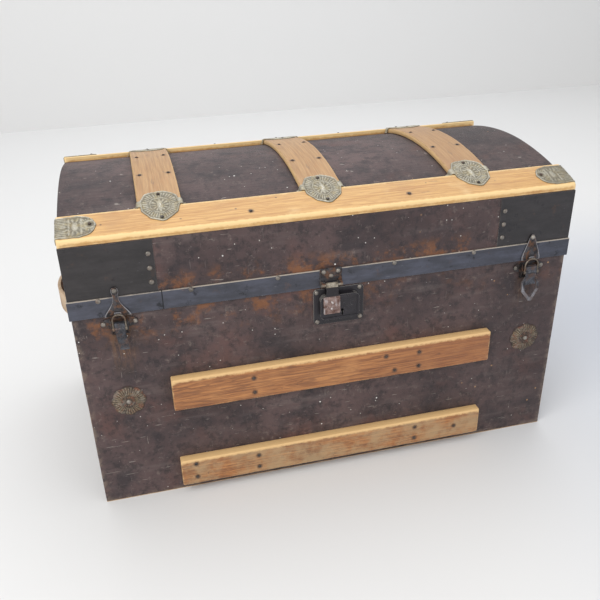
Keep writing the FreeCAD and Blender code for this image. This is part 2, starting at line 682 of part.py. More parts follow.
def make_latch(name, side, reach, lever_parts):
    """One draw latch: base with cheeks, lever, arched link, and the catch on the lid.

    reach is half the width of the lever's tongue.
    """
    centre = side * d.latch_offset
    pin_y = "-trunk_depth/2-lever_pin_out"
    link_y = "-trunk_depth/2-link_pin_out"
    leg = reach + 1.7
    cheek = leg + 1.9
    ear = 24.0

    outline = [(-cheek - 1.2, 281), (cheek + 1.2, 281), (cheek + 1.2, 290), (ear - 3, 293),
               (ear, 298, "arc"), (ear - 3, 303), (cheek + 1.2, 306), (-cheek - 1.2, 306),
               (-ear + 3, 303), (-ear, 298, "arc"), (-ear + 3, 293), (-cheek - 1.2, 290)]
    base = padded(name + "_base_sheet", "XZ_Plane", outline, "latch_sheet")
    place(base, centre, "-trunk_depth/2")
    cheeks = []
    for hand in (-1, 1):
        profile = [(0, 282), (-4.0, 282), (-8.4, 296), (-8.6, 300), (-6.0, 304.5), (0, 305.5)]
        cheek_plate = padded(f"{name}_cheek_{hand + 1}", "YZ_Plane", profile, "latch_sheet",
                             symmetric=True)
        place(cheek_plate, centre + hand * (cheek + 0.6), "-trunk_depth/2")
        cheeks.append(cheek_plate)
    pin_hole = rod(name + "_pin_hole", "lever_pin_radius", "60", centre - 30, pin_y,
                   "lever_pin_level")
    node(cut(name + "_base_shape", fuse(name + "_base_whole", base, *cheeks), pin_hole),
         name + "_latch_base")
    pins = rod(name + "_lever_pin", "lever_pin_radius", 2 * cheek + 4.4, centre - cheek - 2.2,
               pin_y, "lever_pin_level")

    barrel = rod(name + "_barrel", "2.6", 2 * reach, centre - reach, pin_y, "lever_pin_level")
    boss = rod(name + "_boss", "2.2", 2 * reach, centre - reach, link_y, "link_pin_level")
    web = padded(name + "_web", "YZ_Plane",
                 [(-1.0, 2.2), (-3.6, 1.2), (-4.7, -3), (-4.7, -10), (-2.9, -10), (-2.4, -5.5),
                  (-0.5, -2.4)],
                 f"{2 * reach}", symmetric=True)
    place(web, centre, pin_y, "lever_pin_level")
    solid = fuse(name + "_lever_whole", barrel, boss, web, *lever_parts)
    bore = rod(name + "_lever_bore", "lever_pin_radius+running_clearance", "60", centre - 30,
               pin_y, "lever_pin_level")
    pivot = rod(name + "_link_pin", "link_pin_radius", 2 * (leg + 1.6), centre - leg - 1.6, link_y,
                "link_pin_level")
    node(fuse(name + "_lever_shape", cut(name + "_lever_bored", solid, bore), pivot),
         name + "_latch_lever")

    legs = []
    for hand in (-1, 1):
        x = centre + hand * leg
        wire = doc.addObject("Part::Cylinder", f"{name}_link_leg_{hand + 1}")
        bind(wire, Radius="link_wire", Height=f"link_rise-{leg}-link_eye_wall")
        legs.append(place(wire, x, link_y, "link_pin_level+link_eye_wall"))
        legs.append(rod(f"{name}_link_eye_{hand + 1}", "2.4", "2.8", x - 1.4, link_y,
                        "link_pin_level"))
    arch = doc.addObject("Part::Torus", name + "_link_arch")
    bind(arch, Radius1=leg, Radius2="link_wire")
    arch.Angle3 = 180
    place(arch, centre, link_y, f"link_pin_level+link_rise-{leg}", Rotation(Vector(1, 0, 0), 90))
    eye_bore = rod(name + "_link_bore", "link_pin_radius+running_clearance", "60", centre - 30,
                   link_y, "link_pin_level")
    node(cut(name + "_link_shape", fuse(name + "_link_whole", arch, *legs), eye_bore),
         name + "_latch_link")

    neck = [(-4.5, 336.5), (-4.5, 345.5), (0, 350, "arc"), (4.5, 345.5), (4.5, 336.5)]
    top = padded(name + "_catch_top", "XZ_Plane", neck, "band_thick+catch_thick-plate_thin")
    place(top, centre, "-trunk_depth/2-plate_thin")
    bell = [(-4.5, 337), (4.5, 337), (4.5, 331), (8, 324), (17, 312.5), (15, 309.8), (-15, 309.8),
            (-17, 312.5), (-8, 324), (-4.5, 331)]
    plate = padded(name + "_catch_bell", "XZ_Plane", bell, "catch_thick")
    place(plate, centre, "-trunk_depth/2-band_thick")
    lip = padded(name + "_catch_lip", "YZ_Plane",
                 [(0.6, 310), (-3.6, 310), (-4.0, 310.4), (-4.0, 317), (-2.7, 317), (-2.7, 311.6),
                  (0.6, 311.6)], "catch_lip_width", symmetric=True)
    place(lip, centre, "-trunk_depth/2-band_thick-catch_thick")
    node(fuse(name + "_catch_shape", top, plate, lip), name + "_latch_catch")
    return pins


def make_latches():
    tongue = padded("left_tongue", "XZ_Plane",
                    [(-6.5, -5), (6.5, -5), (6.5, -11), (8.6, -38), (-3.6, -38), (-6.5, -11)],
                    "tongue_thick")
    place(tongue, -d.latch_offset, "-trunk_depth/2-lever_pin_out-2.9", "lever_pin_level")
    left_pin = make_latch("left", -1, 6.5, [tongue])

    tongue = padded("right_tongue", "XZ_Plane",
                    [(-8.5, -5), (8.5, -5), (8.5, -11), (9, -27), (-7.5, -27), (-8.5, -11)],
                    "tongue_thick")
    ring = padded("right_ring", "XZ_Plane",
                  [(-9, -14), (9.5, -14), (14.5, -20), (15.5, -36), (6, -54.5), (1, -54.5),
                   (-12, -38), (-13, -22)], "ring_thick")
    hole = sketch_on(ring, "XZ_Plane", "right_ring_hole")
    draw(hole, [(-7, -17), (9, -17), (11, -22), (11.5, -34), (4.5, -48), (1.5, -48), (-8, -36),
                (-9, -22)])
    pocket(ring, hole, "right_ring_pocket", "10", symmetric=True)
    for part in (tongue, ring):
        place(part, d.latch_offset, "-trunk_depth/2-lever_pin_out-2.9", "lever_pin_level")
    right_pin = make_latch("right", 1, 8.5, [tongue, ring])
    group("latch_lever_pins", [left_pin, right_pin])


# Handles -------------------------------------------------------------------------------

CAP_INNER = 68.0
CAP_OUTER = 96.0
CAP_SLOT = 26.0
STRAP_END = 90.0


def make_handles():
    """A bowed leather strap on each end, held under two metal caps."""
    far = STRAP_END
    rise = d.handle_bow
    thick = d.strap_thick
    for name, side in (("left", -1), ("right", 1)):
        outline = [(0, -far), (0, -CAP_INNER + 2), (rise, 0, "arc"), (0, CAP_INNER - 2), (0, far),
                   (thick, far), (thick, CAP_INNER), (rise + thick, 0, "arc"),
                   (thick, -CAP_INNER), (thick, -far)]
        outline = [(side * point[0],) + point[1:] for point in outline]
        strap = padded(name + "_strap", "XY_Plane", outline, "strap_width", symmetric=True)
        node(place(strap, f"{side}*trunk_length/2", "0", "handle_level"), name + "_handle")
        caps = []
        for end in (-1, 1):
            middle = end * (CAP_INNER + CAP_OUTER) / 2
            low_y = middle - (CAP_OUTER - CAP_INNER) / 2
            out_x = "-trunk_length/2-strap_thick-tin_thick" if side < 0 else "trunk_length/2"
            block = box(f"{name}_cap_{end + 1}",
                        ("strap_thick+tin_thick", CAP_OUTER - CAP_INNER, "strap_width+10"),
                        (out_x, low_y, "handle_level-strap_width/2-5"))
            slot_x = "-trunk_length/2-strap_thick" if side < 0 else "trunk_length/2-1"
            slot = box(f"{name}_cap_slot_{end + 1}",
                       ("strap_thick+1", CAP_SLOT, "strap_width+joint_gap"),
                       (slot_x, middle - CAP_SLOT / 2 - end * 4,
                        "handle_level-strap_width/2-joint_gap/2"))
            caps.append(cut(f"{name}_cap_shape_{end + 1}", block, slot))
        group(name + "_handle_caps", caps)


# Back hinges ---------------------------------------------------------------------------

def make_hinges():
    pins = []
    pin_y = "trunk_depth/2+hinge_out"
    for name, side in (("left", -1), ("right", 1)):
        centre = side * d.hinge_offset
        start = f"{centre}-hinge_width/2"
        lower = [box(name + "_lower_sheet", ("hinge_width", "hinge_sheet", "36"),
                     (start, "trunk_depth/2", "hinge_level-40"))]
        for hand, x in ((0, centre - d.hinge_width / 2), (1, centre + 7.3)):
            lower.append(rod(f"{name}_lower_knuckle_{hand}", "hinge_knuckle_radius", "12.7", x,
                             pin_y, "hinge_level"))
            lower.append(box(f"{name}_lower_lug_{hand}", ("12.7", "hinge_out", "5"),
                             (x, "trunk_depth/2", "hinge_level-5.4")))
        bore = rod(name + "_lower_bore", "hinge_pin_radius", "60", centre - 30, pin_y,
                   "hinge_level")
        node(cut(name + "_lower_leaf", fuse(name + "_lower_whole", *lower), bore),
             name + "_hinge_lower_leaf")
        upper = fuse(
            name + "_upper_whole",
            box(name + "_upper_sheet", ("hinge_width", "hinge_sheet", "21"),
                (start, "trunk_depth/2+band_thick", "hinge_level+4.4")),
            box(name + "_upper_lug", ("14", "hinge_out-band_thick", "5"),
                (centre - 7, "trunk_depth/2+band_thick", "hinge_level+0.4")),
            rod(name + "_upper_knuckle", "hinge_knuckle_radius", "14", centre - 7, pin_y,
                "hinge_level"))
        bore = rod(name + "_upper_bore", "hinge_pin_radius+running_clearance", "60", centre - 30,
                   pin_y, "hinge_level")
        node(cut(name + "_upper_leaf", upper, bore), name + "_hinge_upper_leaf")
        pins.append(rod(name + "_hinge_pin", "hinge_pin_radius", "hinge_width+1",
                        centre - d.hinge_width / 2 - 0.5, pin_y, "hinge_level"))
    group("hinge_pins", pins)


# Trim and fasteners --------------------------------------------------------------------

ROSETTES = (("left_rosette", -300.0, 173.5), ("right_rosette", 306.0, 175.0))


def make_rosettes():
    for name, x, z in ROSETTES:
        dish = start_body(name + "_body")
        sketch = sketch_on(dish, "XY_Plane", name + "_section")
        rim = d.rosette_radius
        draw(sketch, [(0, 0), (rim, 0), (rim, 0.8), (rim * 0.7, d.rosette_height - 0.5),
                      (rim * 0.3, d.rosette_height), (0, d.rosette_height)])
        turn = dish.newObject("PartDesign::Revolution", name + "_turn")
        turn.Profile = sketch
        turn.ReferenceAxis = (sketch, ["V_Axis"])
        turn.Angle = 360
        place(dish, x, "-trunk_depth/2", z, Rotation(Vector(1, 0, 0), 180))
        node(dish, name)


def make_fasteners():
    slat_out = d.slat_thick
    spots = [(x, z) for x in (-125, 125) for z in (187, 163)]
    spots += [(x, z) for x in (-125, 125) for z in (48, 27)]
    spots += [(-219, 53), (-219, 29), (192, 37), (73, 188), (87, 162)]
    seats = [on_front(x, z, slat_out) for x, z in spots]
    seats += [on_back(x, z, slat_out) for x, z in spots[:8]]
    heads("body_slat_nails", "nail_radius", "nail_height", seats)

    seats = [on_front(x, z, d.lock_thick)
             for x, z in ((-28.6, 302), (34.0, 303), (-28.0, 256), (35, 256.5))]
    seats += [on_front(side * d.latch_offset + hand * 20.4, 298, d.latch_sheet)
              for side in (-1, 1) for hand in (-1, 1)]
    seats += [on_front(x, z, d.rosette_height) for name, x, z in ROSETTES]
    middle = (CAP_INNER + CAP_OUTER) / 2
    for side in (-1, 1):
        seats += [on_end(side, end * middle, d.handle_level + step, d.strap_thick + d.tin_thick)
                  for end in (-1, 1) for step in (-12, 12)]
        seats += [on_back(side * d.hinge_offset + step, z, d.hinge_sheet)
                  for step in (-13, 13) for z in (296, 277)]
    heads("body_rivets", "rivet_radius", "rivet_height", seats)

    seats = [on_front(side * 248, z, d.plate_thin) for side in (-1, 1) for z in (390, 370, 350)]
    seats += [on_back(side * 248, z, d.plate_thin) for side in (-1, 1) for z in (390, 370, 350)]
    seats += [on_front(side * d.latch_offset, 345.5, d.band_thick + d.catch_thick)
              for side in (-1, 1)]
    seats += [on_front(d.hasp_centre + x, z, d.band_thick + 1.4)
              for x, z in ((-10.3, 333), (10.3, 333), (0, 326.5))]
    seats += [on_back(side * d.hinge_offset + step, 326, d.band_thick + d.hinge_sheet)
              for side in (-1, 1) for step in (-13, 13)]
    heads("lid_rivets", "rivet_radius", "rivet_height", seats)

    spots = [-318, -199, -82, 84.5, 205]
    seats = [on_front(x, 333, d.band_thick) for x in spots]
    seats += [on_back(x, 333, d.band_thick) for x in (-318, -82, 84.5, 318)]
    seats += [on_end(side, y, 325, d.band_thick) for side in (-1, 1) for y in (-110, 0, 110)]
    heads("band_nails", "rivet_radius", "rivet_height", seats)

    top = d.dome_radius + d.dome_slat_thick
    seats = []
    for name, x in CROSS_SLATS:
        for side in (-1, 1):
            joint = side * (HALF_DEPTH - d.edge_slat_width)
            seats += [on_dome(x, joint + step, top + d.tin_thick)
                      for step in (-CLAMP_NAIL_REACH, CLAMP_NAIL_REACH)]
        seats += [on_dome(x + step, y, top) for step in (-20, 20) for y in (-45, 45)]
    for side in (-1, 1):
        seats += [on_dome(side * 314, front * 160, top + d.tin_thick) for front in (-1, 1)]
        seats += [on_dome(side * 110, front * 168, top) for front in (-1, 1)]
    heads("lid_slat_nails", "nail_radius", "nail_height", seats)


def check_and_write():
    """Stop on any failed object, then write one file for each node."""
    failed = [thing.Name for thing in doc.Objects
              if "Invalid" in thing.State or "Error" in thing.State]
    if failed:
        raise RuntimeError("failed objects: " + ", ".join(failed))
    os.makedirs("parts", exist_ok=True)
    for thing in NODES:
        shape = thing.Shape
        if shape.isNull() or not shape.isValid() or not shape.Solids:
            raise RuntimeError("bad shape: " + thing.Label)
        shape.exportStep(f"parts/{thing.Label}.step")
        print(f"{thing.Label}: {len(shape.Solids)} solid(s), {shape.Volume:.0f} mm3")


make_case()
make_case_slats()
make_lid_box()
make_dome_slats()
make_slat_clamps()
make_corner_clamps()
make_lid_iron()
make_lock()
make_hasp()
make_latches()
make_handles()
make_hinges()
make_rosettes()
make_fasteners()
doc.recompute()
check_and_write()
print(len(NODES), "nodes")
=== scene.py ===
import math
from contextlib import contextmanager

import bmesh
import bpy
from mathutils import Matrix, Quaternion, Vector, noise


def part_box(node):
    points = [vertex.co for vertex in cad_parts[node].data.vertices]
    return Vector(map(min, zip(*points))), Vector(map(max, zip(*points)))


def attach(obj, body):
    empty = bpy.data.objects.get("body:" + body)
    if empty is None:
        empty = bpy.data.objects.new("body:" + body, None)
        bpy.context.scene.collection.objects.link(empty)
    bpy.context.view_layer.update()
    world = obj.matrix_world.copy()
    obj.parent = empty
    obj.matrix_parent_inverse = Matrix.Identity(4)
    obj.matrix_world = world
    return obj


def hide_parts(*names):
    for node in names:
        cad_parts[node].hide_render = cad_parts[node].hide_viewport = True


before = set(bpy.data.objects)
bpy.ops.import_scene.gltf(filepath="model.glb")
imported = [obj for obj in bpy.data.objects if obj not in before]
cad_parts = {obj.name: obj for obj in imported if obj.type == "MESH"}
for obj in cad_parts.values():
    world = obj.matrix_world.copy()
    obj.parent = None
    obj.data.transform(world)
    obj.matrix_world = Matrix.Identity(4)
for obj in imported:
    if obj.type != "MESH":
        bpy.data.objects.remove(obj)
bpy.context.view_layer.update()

# The trunk's own sizes in metres, front towards -Y and +Z up. The boxes come from the frame.
MM = 0.001
CASE_LOW, CASE_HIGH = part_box("body_covering")
LID_LOW, LID_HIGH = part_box("lid_covering")
BAND_LOW, BAND_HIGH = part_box("lid_band")
HALF_LENGTH = CASE_HIGH.x
HALF_DEPTH = CASE_HIGH.y
DOME_CROWN = LID_HIGH.z
DOME_RADIUS = 548 * MM
DOME_AXIS = DOME_CROWN - DOME_RADIUS
DOME_SLAT_THICK = 8 * MM
CASE_BODY, LID_BODY, HASP_BODY = "chest_body", "lid", "hasp_swinging"


# Making meshes --------------------------------------------------------------------------

def piece_from_mesh(name, mesh, material, body, replaces=(), smooth_angle=50):
    """Link a finished mesh as a piece: its material, body and replaced nodes."""
    mesh.name = name
    thing = bpy.data.objects.new(name, mesh)
    bpy.context.scene.collection.objects.link(thing)
    if material:
        mesh.materials.clear()
        mesh.materials.append(material)
    if smooth_angle:
        mesh.shade_smooth()
        mesh.set_sharp_from_angle(angle=math.radians(smooth_angle))
    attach(thing, body)
    if replaces:
        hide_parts(*replaces)
    return thing


def mesh_from(points, faces, grain=None, wear_and_light=None, relief=None):
    """A mesh with any of the surface attributes that the materials read."""
    mesh = bpy.data.meshes.new("blank")
    mesh.from_pydata([tuple(point) for point in points], [], faces)
    mesh.update()
    if grain:
        layer = mesh.attributes.new("grain", "FLOAT_VECTOR", "POINT")
        layer.data.foreach_set("vector", [number for spot in grain for number in spot])
    for name, values in (("wear_and_light", wear_and_light), ("relief", relief)):
        if values:
            store_numbers(mesh, values, name)
    return mesh


def store_numbers(mesh, values, name="wear_and_light"):
    """Store a number for each point of a mesh, by default its wear and painted highlight."""
    mesh.attributes.new(name, "FLOAT", "POINT").data.foreach_set("value", values)


def applied(mesh, *modifiers):
    """A plain mesh with the given modifiers worked out; each is (type, settings)."""
    holder = bpy.data.objects.new("holder", mesh)
    bpy.context.scene.collection.objects.link(holder)
    for kind, settings in modifiers:
        modifier = holder.modifiers.new(kind.title(), kind)
        for key, value in settings.items():
            setattr(modifier, key, value)
    graph = bpy.context.evaluated_depsgraph_get()
    result = bpy.data.meshes.new_from_object(holder.evaluated_get(graph))
    bpy.data.objects.remove(holder)
    return result


def skin(rings, closed_ring=True, start_cap=True, end_cap=True):
    """Faces that join equal rings of points in order; the points are rings laid end to end."""
    size = len(rings[0])
    span = size if closed_ring else size - 1
    faces = []
    for row in range(len(rings) - 1):
        for column in range(span):
            after = (column + 1) % size
            low, high = row * size, (row + 1) * size
            faces.append((low + column, low + after, high + after, high + column))
    if start_cap:
        faces.append(tuple(reversed(range(size))))
    if end_cap:
        last = (len(rings) - 1) * size
        faces.append(tuple(range(last, last + size)))
    return faces


@contextmanager
def editing(mesh):
    """Open a mesh for editing and write it back afterwards."""
    work = bmesh.new()
    work.from_mesh(mesh)
    yield work
    work.to_mesh(mesh)
    work.free()


def facing_out(mesh):
    """Recalculate the normals of a closed mesh so that they point outwards."""
    with editing(mesh) as work:
        bmesh.ops.recalc_face_normals(work, faces=work.faces)
    return mesh


def mark_edge_wear_and_highlight(mesh, width, shine):
    """Store how sharply each rounded edge turns outwards, times shine: hands rub it bright, and the
    same value paints a highlight along the edge.

    Points on the wide flat faces stay unworn.
    """
    with editing(mesh) as work:
        layer = work.verts.layers.float.new("wear_and_light")
        for vertex in work.verts:
            ways = [(edge.other_vert(vertex).co - vertex.co).normalized()
                    for edge in vertex.link_edges]
            fall = -sum(way.dot(vertex.normal) for way in ways) / max(1, len(ways))
            slim = all(face.calc_area() < width * face.calc_perimeter()
                       for face in vertex.link_faces)
            vertex[layer] = min(1.0, max(0.0, fall * shine)) if slim else 0.0


def softened_copy(node, width, material, body, segments=2, shine=2.4):
    """A CAD node's shape with its hard edges rounded over, standing in for the node."""
    work = bmesh.new()
    work.from_mesh(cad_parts[node].data)
    bmesh.ops.remove_doubles(work, verts=work.verts, dist=1e-6)
    bmesh.ops.dissolve_limit(work, angle_limit=math.radians(1.0), verts=work.verts,
                             edges=work.edges)
    mesh = bpy.data.meshes.new(node)
    work.to_mesh(mesh)
    work.free()
    mesh.shade_smooth()
    mesh = applied(mesh, ("BEVEL", dict(width=width, segments=segments, limit_method="ANGLE",
                                        angle_limit=math.radians(32), use_clamp_overlap=True)))
    mark_edge_wear_and_highlight(mesh, width, shine)
    mesh.shade_smooth()
    mesh.set_sharp_from_angle(angle=math.radians(40))
    mesh = applied(mesh, ("WEIGHTED_NORMAL", dict(keep_sharp=True, weight=100)))
    return piece_from_mesh(node + "_finished", mesh, material, body, (node,), None)


def rounded_stations(length, radius, count, steps=3):
    """Places along a piece and how far in its surface lies there, with both ends rounded."""
    turns = [math.radians(90) * step / steps for step in range(steps + 1)]
    ends = [(radius * (1 - math.cos(turn)), radius * (1 - math.sin(turn))) for turn in turns]
    inner = [(radius + (length - 2 * radius) * index / count, 0.0) for index in range(1, count)]
    return ends + inner + [(length - s, inset) for s, inset in reversed(ends)]


def wander(place, size, amount):
    """Smooth random offset at a place, with features of the given size."""
    return amount * noise.noise(place / size)


def second_metal(piece, finish, chosen):
    """Give a second finish to the faces whose centres are chosen."""
    piece.data.materials.append(finish)
    for face in piece.data.polygons:
        if chosen(face.center):
            face.material_index = 1


# Camera, light and floor ----------------------------------------------------------------

def set_stage():
    """Pale floor and wall, a painted bluish shadow on the floor to the right, soft daylight from the
    upper left, and the camera.
    """
    floor = bpy.data.meshes.new("floor")
    wide, back = 6.0, 2.2
    floor.from_pydata(
        [(-wide, -wide, 0), (wide, -wide, 0), (wide, back, 0), (-wide, back, 0),
         (wide, back, 4), (-wide, back, 4)], [], [(0, 1, 2, 3), (3, 2, 4, 5)])
    ground = bpy.data.objects.new("floor", floor)
    bpy.context.scene.collection.objects.link(ground)
    pale = Finish("pale_paper")
    x, y, _ = pale.along()
    # Painted shadow: the floor is coloured darker and bluer towards the right and the front, standing
    # in for shade.
    cool_painted_shadow = x.between(0.10, 0.90) * (1 - y.between(0.0, 0.8)) * 0.75
    shade = pale.mix((0.73, 0.73, 0.73), (0.44, 0.48, 0.58), cool_painted_shadow)
    floor.materials.append(pale.finish(shade, 0.9))

    world = bpy.data.worlds.new("daylight")
    world.use_nodes = True
    sky = world.node_tree.nodes["Background"]
    sky.inputs["Color"].default_value = (1.0, 1.0, 1.0, 1)
    sky.inputs["Strength"].default_value = 0.75
    bpy.context.scene.world = world
    for name, place, aim, size, watts, tint in (
            ("window", (-1.7, -1.5, 2.1), (0, 0, 0.2), 1.8, 42, (1.0, 0.98, 0.95)),
            ("overhead", (0.3, 0.9, 2.5), (0, 0, 0.3), 2.4, 30, (0.96, 0.98, 1.0)),
            ("fill", (1.6, -2.4, 1.0), (0, 0, 0.2), 1.6, 10, (1.0, 1.0, 1.0))):
        lamp = bpy.data.lights.new(name, "AREA")
        lamp.size = size
        lamp.energy = watts
        lamp.color = tint
        light = bpy.data.objects.new(name, lamp)
        light.location = place
        light.rotation_euler = (Vector(aim) - Vector(place)).to_track_quat("-Z", "Y").to_euler()
        bpy.context.scene.collection.objects.link(light)

    camera = bpy.data.cameras.new("camera")
    camera.sensor_width = 36
    camera.lens = 43.0
    viewer = bpy.data.objects.new("camera", camera)
    eye = Vector((-0.2545, -1.0404, 0.7545))
    target = Vector((-0.0092, -0.0064, 0.1971))
    roll = math.radians(-1.57)
    turn = (target - eye).to_track_quat("-Z", "Y") @ Quaternion((0, 0, 1), roll)
    viewer.location = eye
    viewer.rotation_euler = turn.to_euler()
    bpy.context.scene.collection.objects.link(viewer)
    bpy.context.scene.camera = viewer
    bpy.context.scene.view_settings.view_transform = "Standard"


# Writing node trees ---------------------------------------------------------------------

class Nodes:
    """A node tree whose nodes all come from one method."""

    def plug(self, socket, value):
        """Link a socket or give it a value; None leaves it as it is."""
        value = getattr(value, "socket", value)
        if isinstance(value, bpy.types.NodeSocket):
            self.tree.links.new(value, socket)
        elif value is not None:
            if socket.type == "RGBA" and len(value) == 3:
                value = (*value, 1)
            socket.default_value = value

    def add(self, kind, settings=None, *inputs, **named):
        """Add a node: its settings, then its sockets in order or by name (_ for a space)."""
        node = self.tree.nodes.new(kind)
        for key, value in (settings or {}).items():
            setattr(node, key, value)
        for socket, value in zip(node.inputs, inputs):
            self.plug(socket, value)
        for key, value in named.items():
            self.plug(node.inputs[key.replace("_", " ")], value)
        return node


class Value:
    """A socket that adds Math nodes when it is used in an expression."""

    def __init__(self, nodes, socket):
        self.nodes = nodes
        self.socket = socket

    def math(self, operation, *others):
        return math_value(self.nodes, operation, self, *others)

    def __add__(self, other):
        return self.math("ADD", other)

    def __sub__(self, other):
        return self.math("SUBTRACT", other)

    def __rsub__(self, other):
        return math_value(self.nodes, "SUBTRACT", other, self)

    def __mul__(self, other):
        return self.math("MULTIPLY", other)

    def __truediv__(self, other):
        return self.math("DIVIDE", other)

    def __pow__(self, other):
        return self.math("POWER", other)

    __radd__ = __add__
    __rmul__ = __mul__

    def sine(self):
        return self.math("SINE")

    def size(self):
        return self.math("ABSOLUTE")

    def between(self, low, high):
        """Rises smoothly from 0 at low to 1 at high."""
        node = self.nodes.add("ShaderNodeMapRange", dict(interpolation_type="SMOOTHSTEP"),
                              self, low, high, 0.0, 1.0)
        return Value(self.nodes, node.outputs[0])

    def clamped(self):
        return Value(self.nodes, self.nodes.add("ShaderNodeClamp", {}, self).outputs[0])


def math_value(nodes, operation, *values):
    node = nodes.add("ShaderNodeMath", dict(operation=operation), *values)
    return Value(nodes, node.outputs[0])


class Finish(Nodes):
    """One procedural material, written as expressions."""

    def __init__(self, name):
        self.material = bpy.data.materials.new(name)
        self.material.use_nodes = True
        self.tree = self.material.node_tree
        self.shader = self.tree.nodes["Principled BSDF"]
        self.place = self.add("ShaderNodeTexCoord").outputs["Object"]

    def number(self, value):
        node = self.add("ShaderNodeValue")
        node.outputs[0].default_value = value
        return Value(self, node.outputs[0])

    def along(self):
        """The x, y and z of the place on the piece, as three values."""
        node = self.add("ShaderNodeSeparateXYZ", {}, self.place)
        return [Value(self, socket) for socket in node.outputs]

    def attribute(self, name):
        return self.add("ShaderNodeAttribute", dict(attribute_name=name))

    def level(self, name):
        """A number that the mesh stores for each point."""
        return Value(self, self.attribute(name).outputs["Fac"])

    def stretched(self, x, y, z, source=None):
        node = self.add("ShaderNodeMapping", {}, source or self.place, Scale=(x, y, z))
        return node.outputs[0]

    def noise(self, scale, detail=4.0, roughness=0.55, source=None, distortion=0.0, seed=0.0):
        node = self.add("ShaderNodeTexNoise", dict(noise_dimensions="4D"),
                        Vector=source or self.place, W=seed, Scale=scale, Detail=detail,
                        Roughness=roughness, Distortion=distortion)
        return Value(self, node.outputs["Fac"])

    def cells(self, scale):
        """Distance to the nearest of many scattered points, and a random number for it."""
        node = self.add("ShaderNodeTexVoronoi", {}, Vector=self.place, Scale=scale)
        pick = self.add("ShaderNodeSeparateColor", {}, node.outputs["Color"])
        return Value(self, node.outputs["Distance"]), Value(self, pick.outputs[0])

    def mix(self, first, second, factor):
        """Blend two colours; the node's sockets for numbers and vectors are skipped."""
        node = self.add("ShaderNodeMix", dict(data_type="RGBA"), factor, None, None, None, None,
                        None, first, second)
        return node.outputs[2]

    def stain(self, colour, tone, strength, span, scale, detail=4.0, roughness=0.55, seed=0.0):
        """Blend a tone in patches: noise is read from 0 to 1 over the span."""
        patches = self.noise(scale, detail, roughness, seed=seed).between(*span)
        return self.mix(colour, tone, patches * strength)

    def flecks(self, scale, share, size):
        """Scattered specks: share is how many of the cells have one, size its radius."""
        distance, pick = self.cells(scale)
        return (1 - distance.between(size * 0.6, size)) * pick.between(1 - share, 1 - share + 0.01)

    def finish(self, colour, roughness, height=None, bump=0.3, metallic=0.0, coat=0.0,
               coat_roughness=0.2, reach=0.001):
        """Wire the shader up and return the material."""
        for name, value in (("Base Color", colour), ("Roughness", roughness),
                            ("Metallic", metallic), ("Coat Weight", coat),
                            ("Coat Roughness", coat_roughness)):
            self.plug(self.shader.inputs[name], value)
        if height is not None:
            node = self.add("ShaderNodeBump", {}, Strength=bump, Distance=reach, Height=height)
            self.plug(self.shader.inputs["Normal"], node.outputs[0])
        return self.material


# Finishes -------------------------------------------------------------------------------

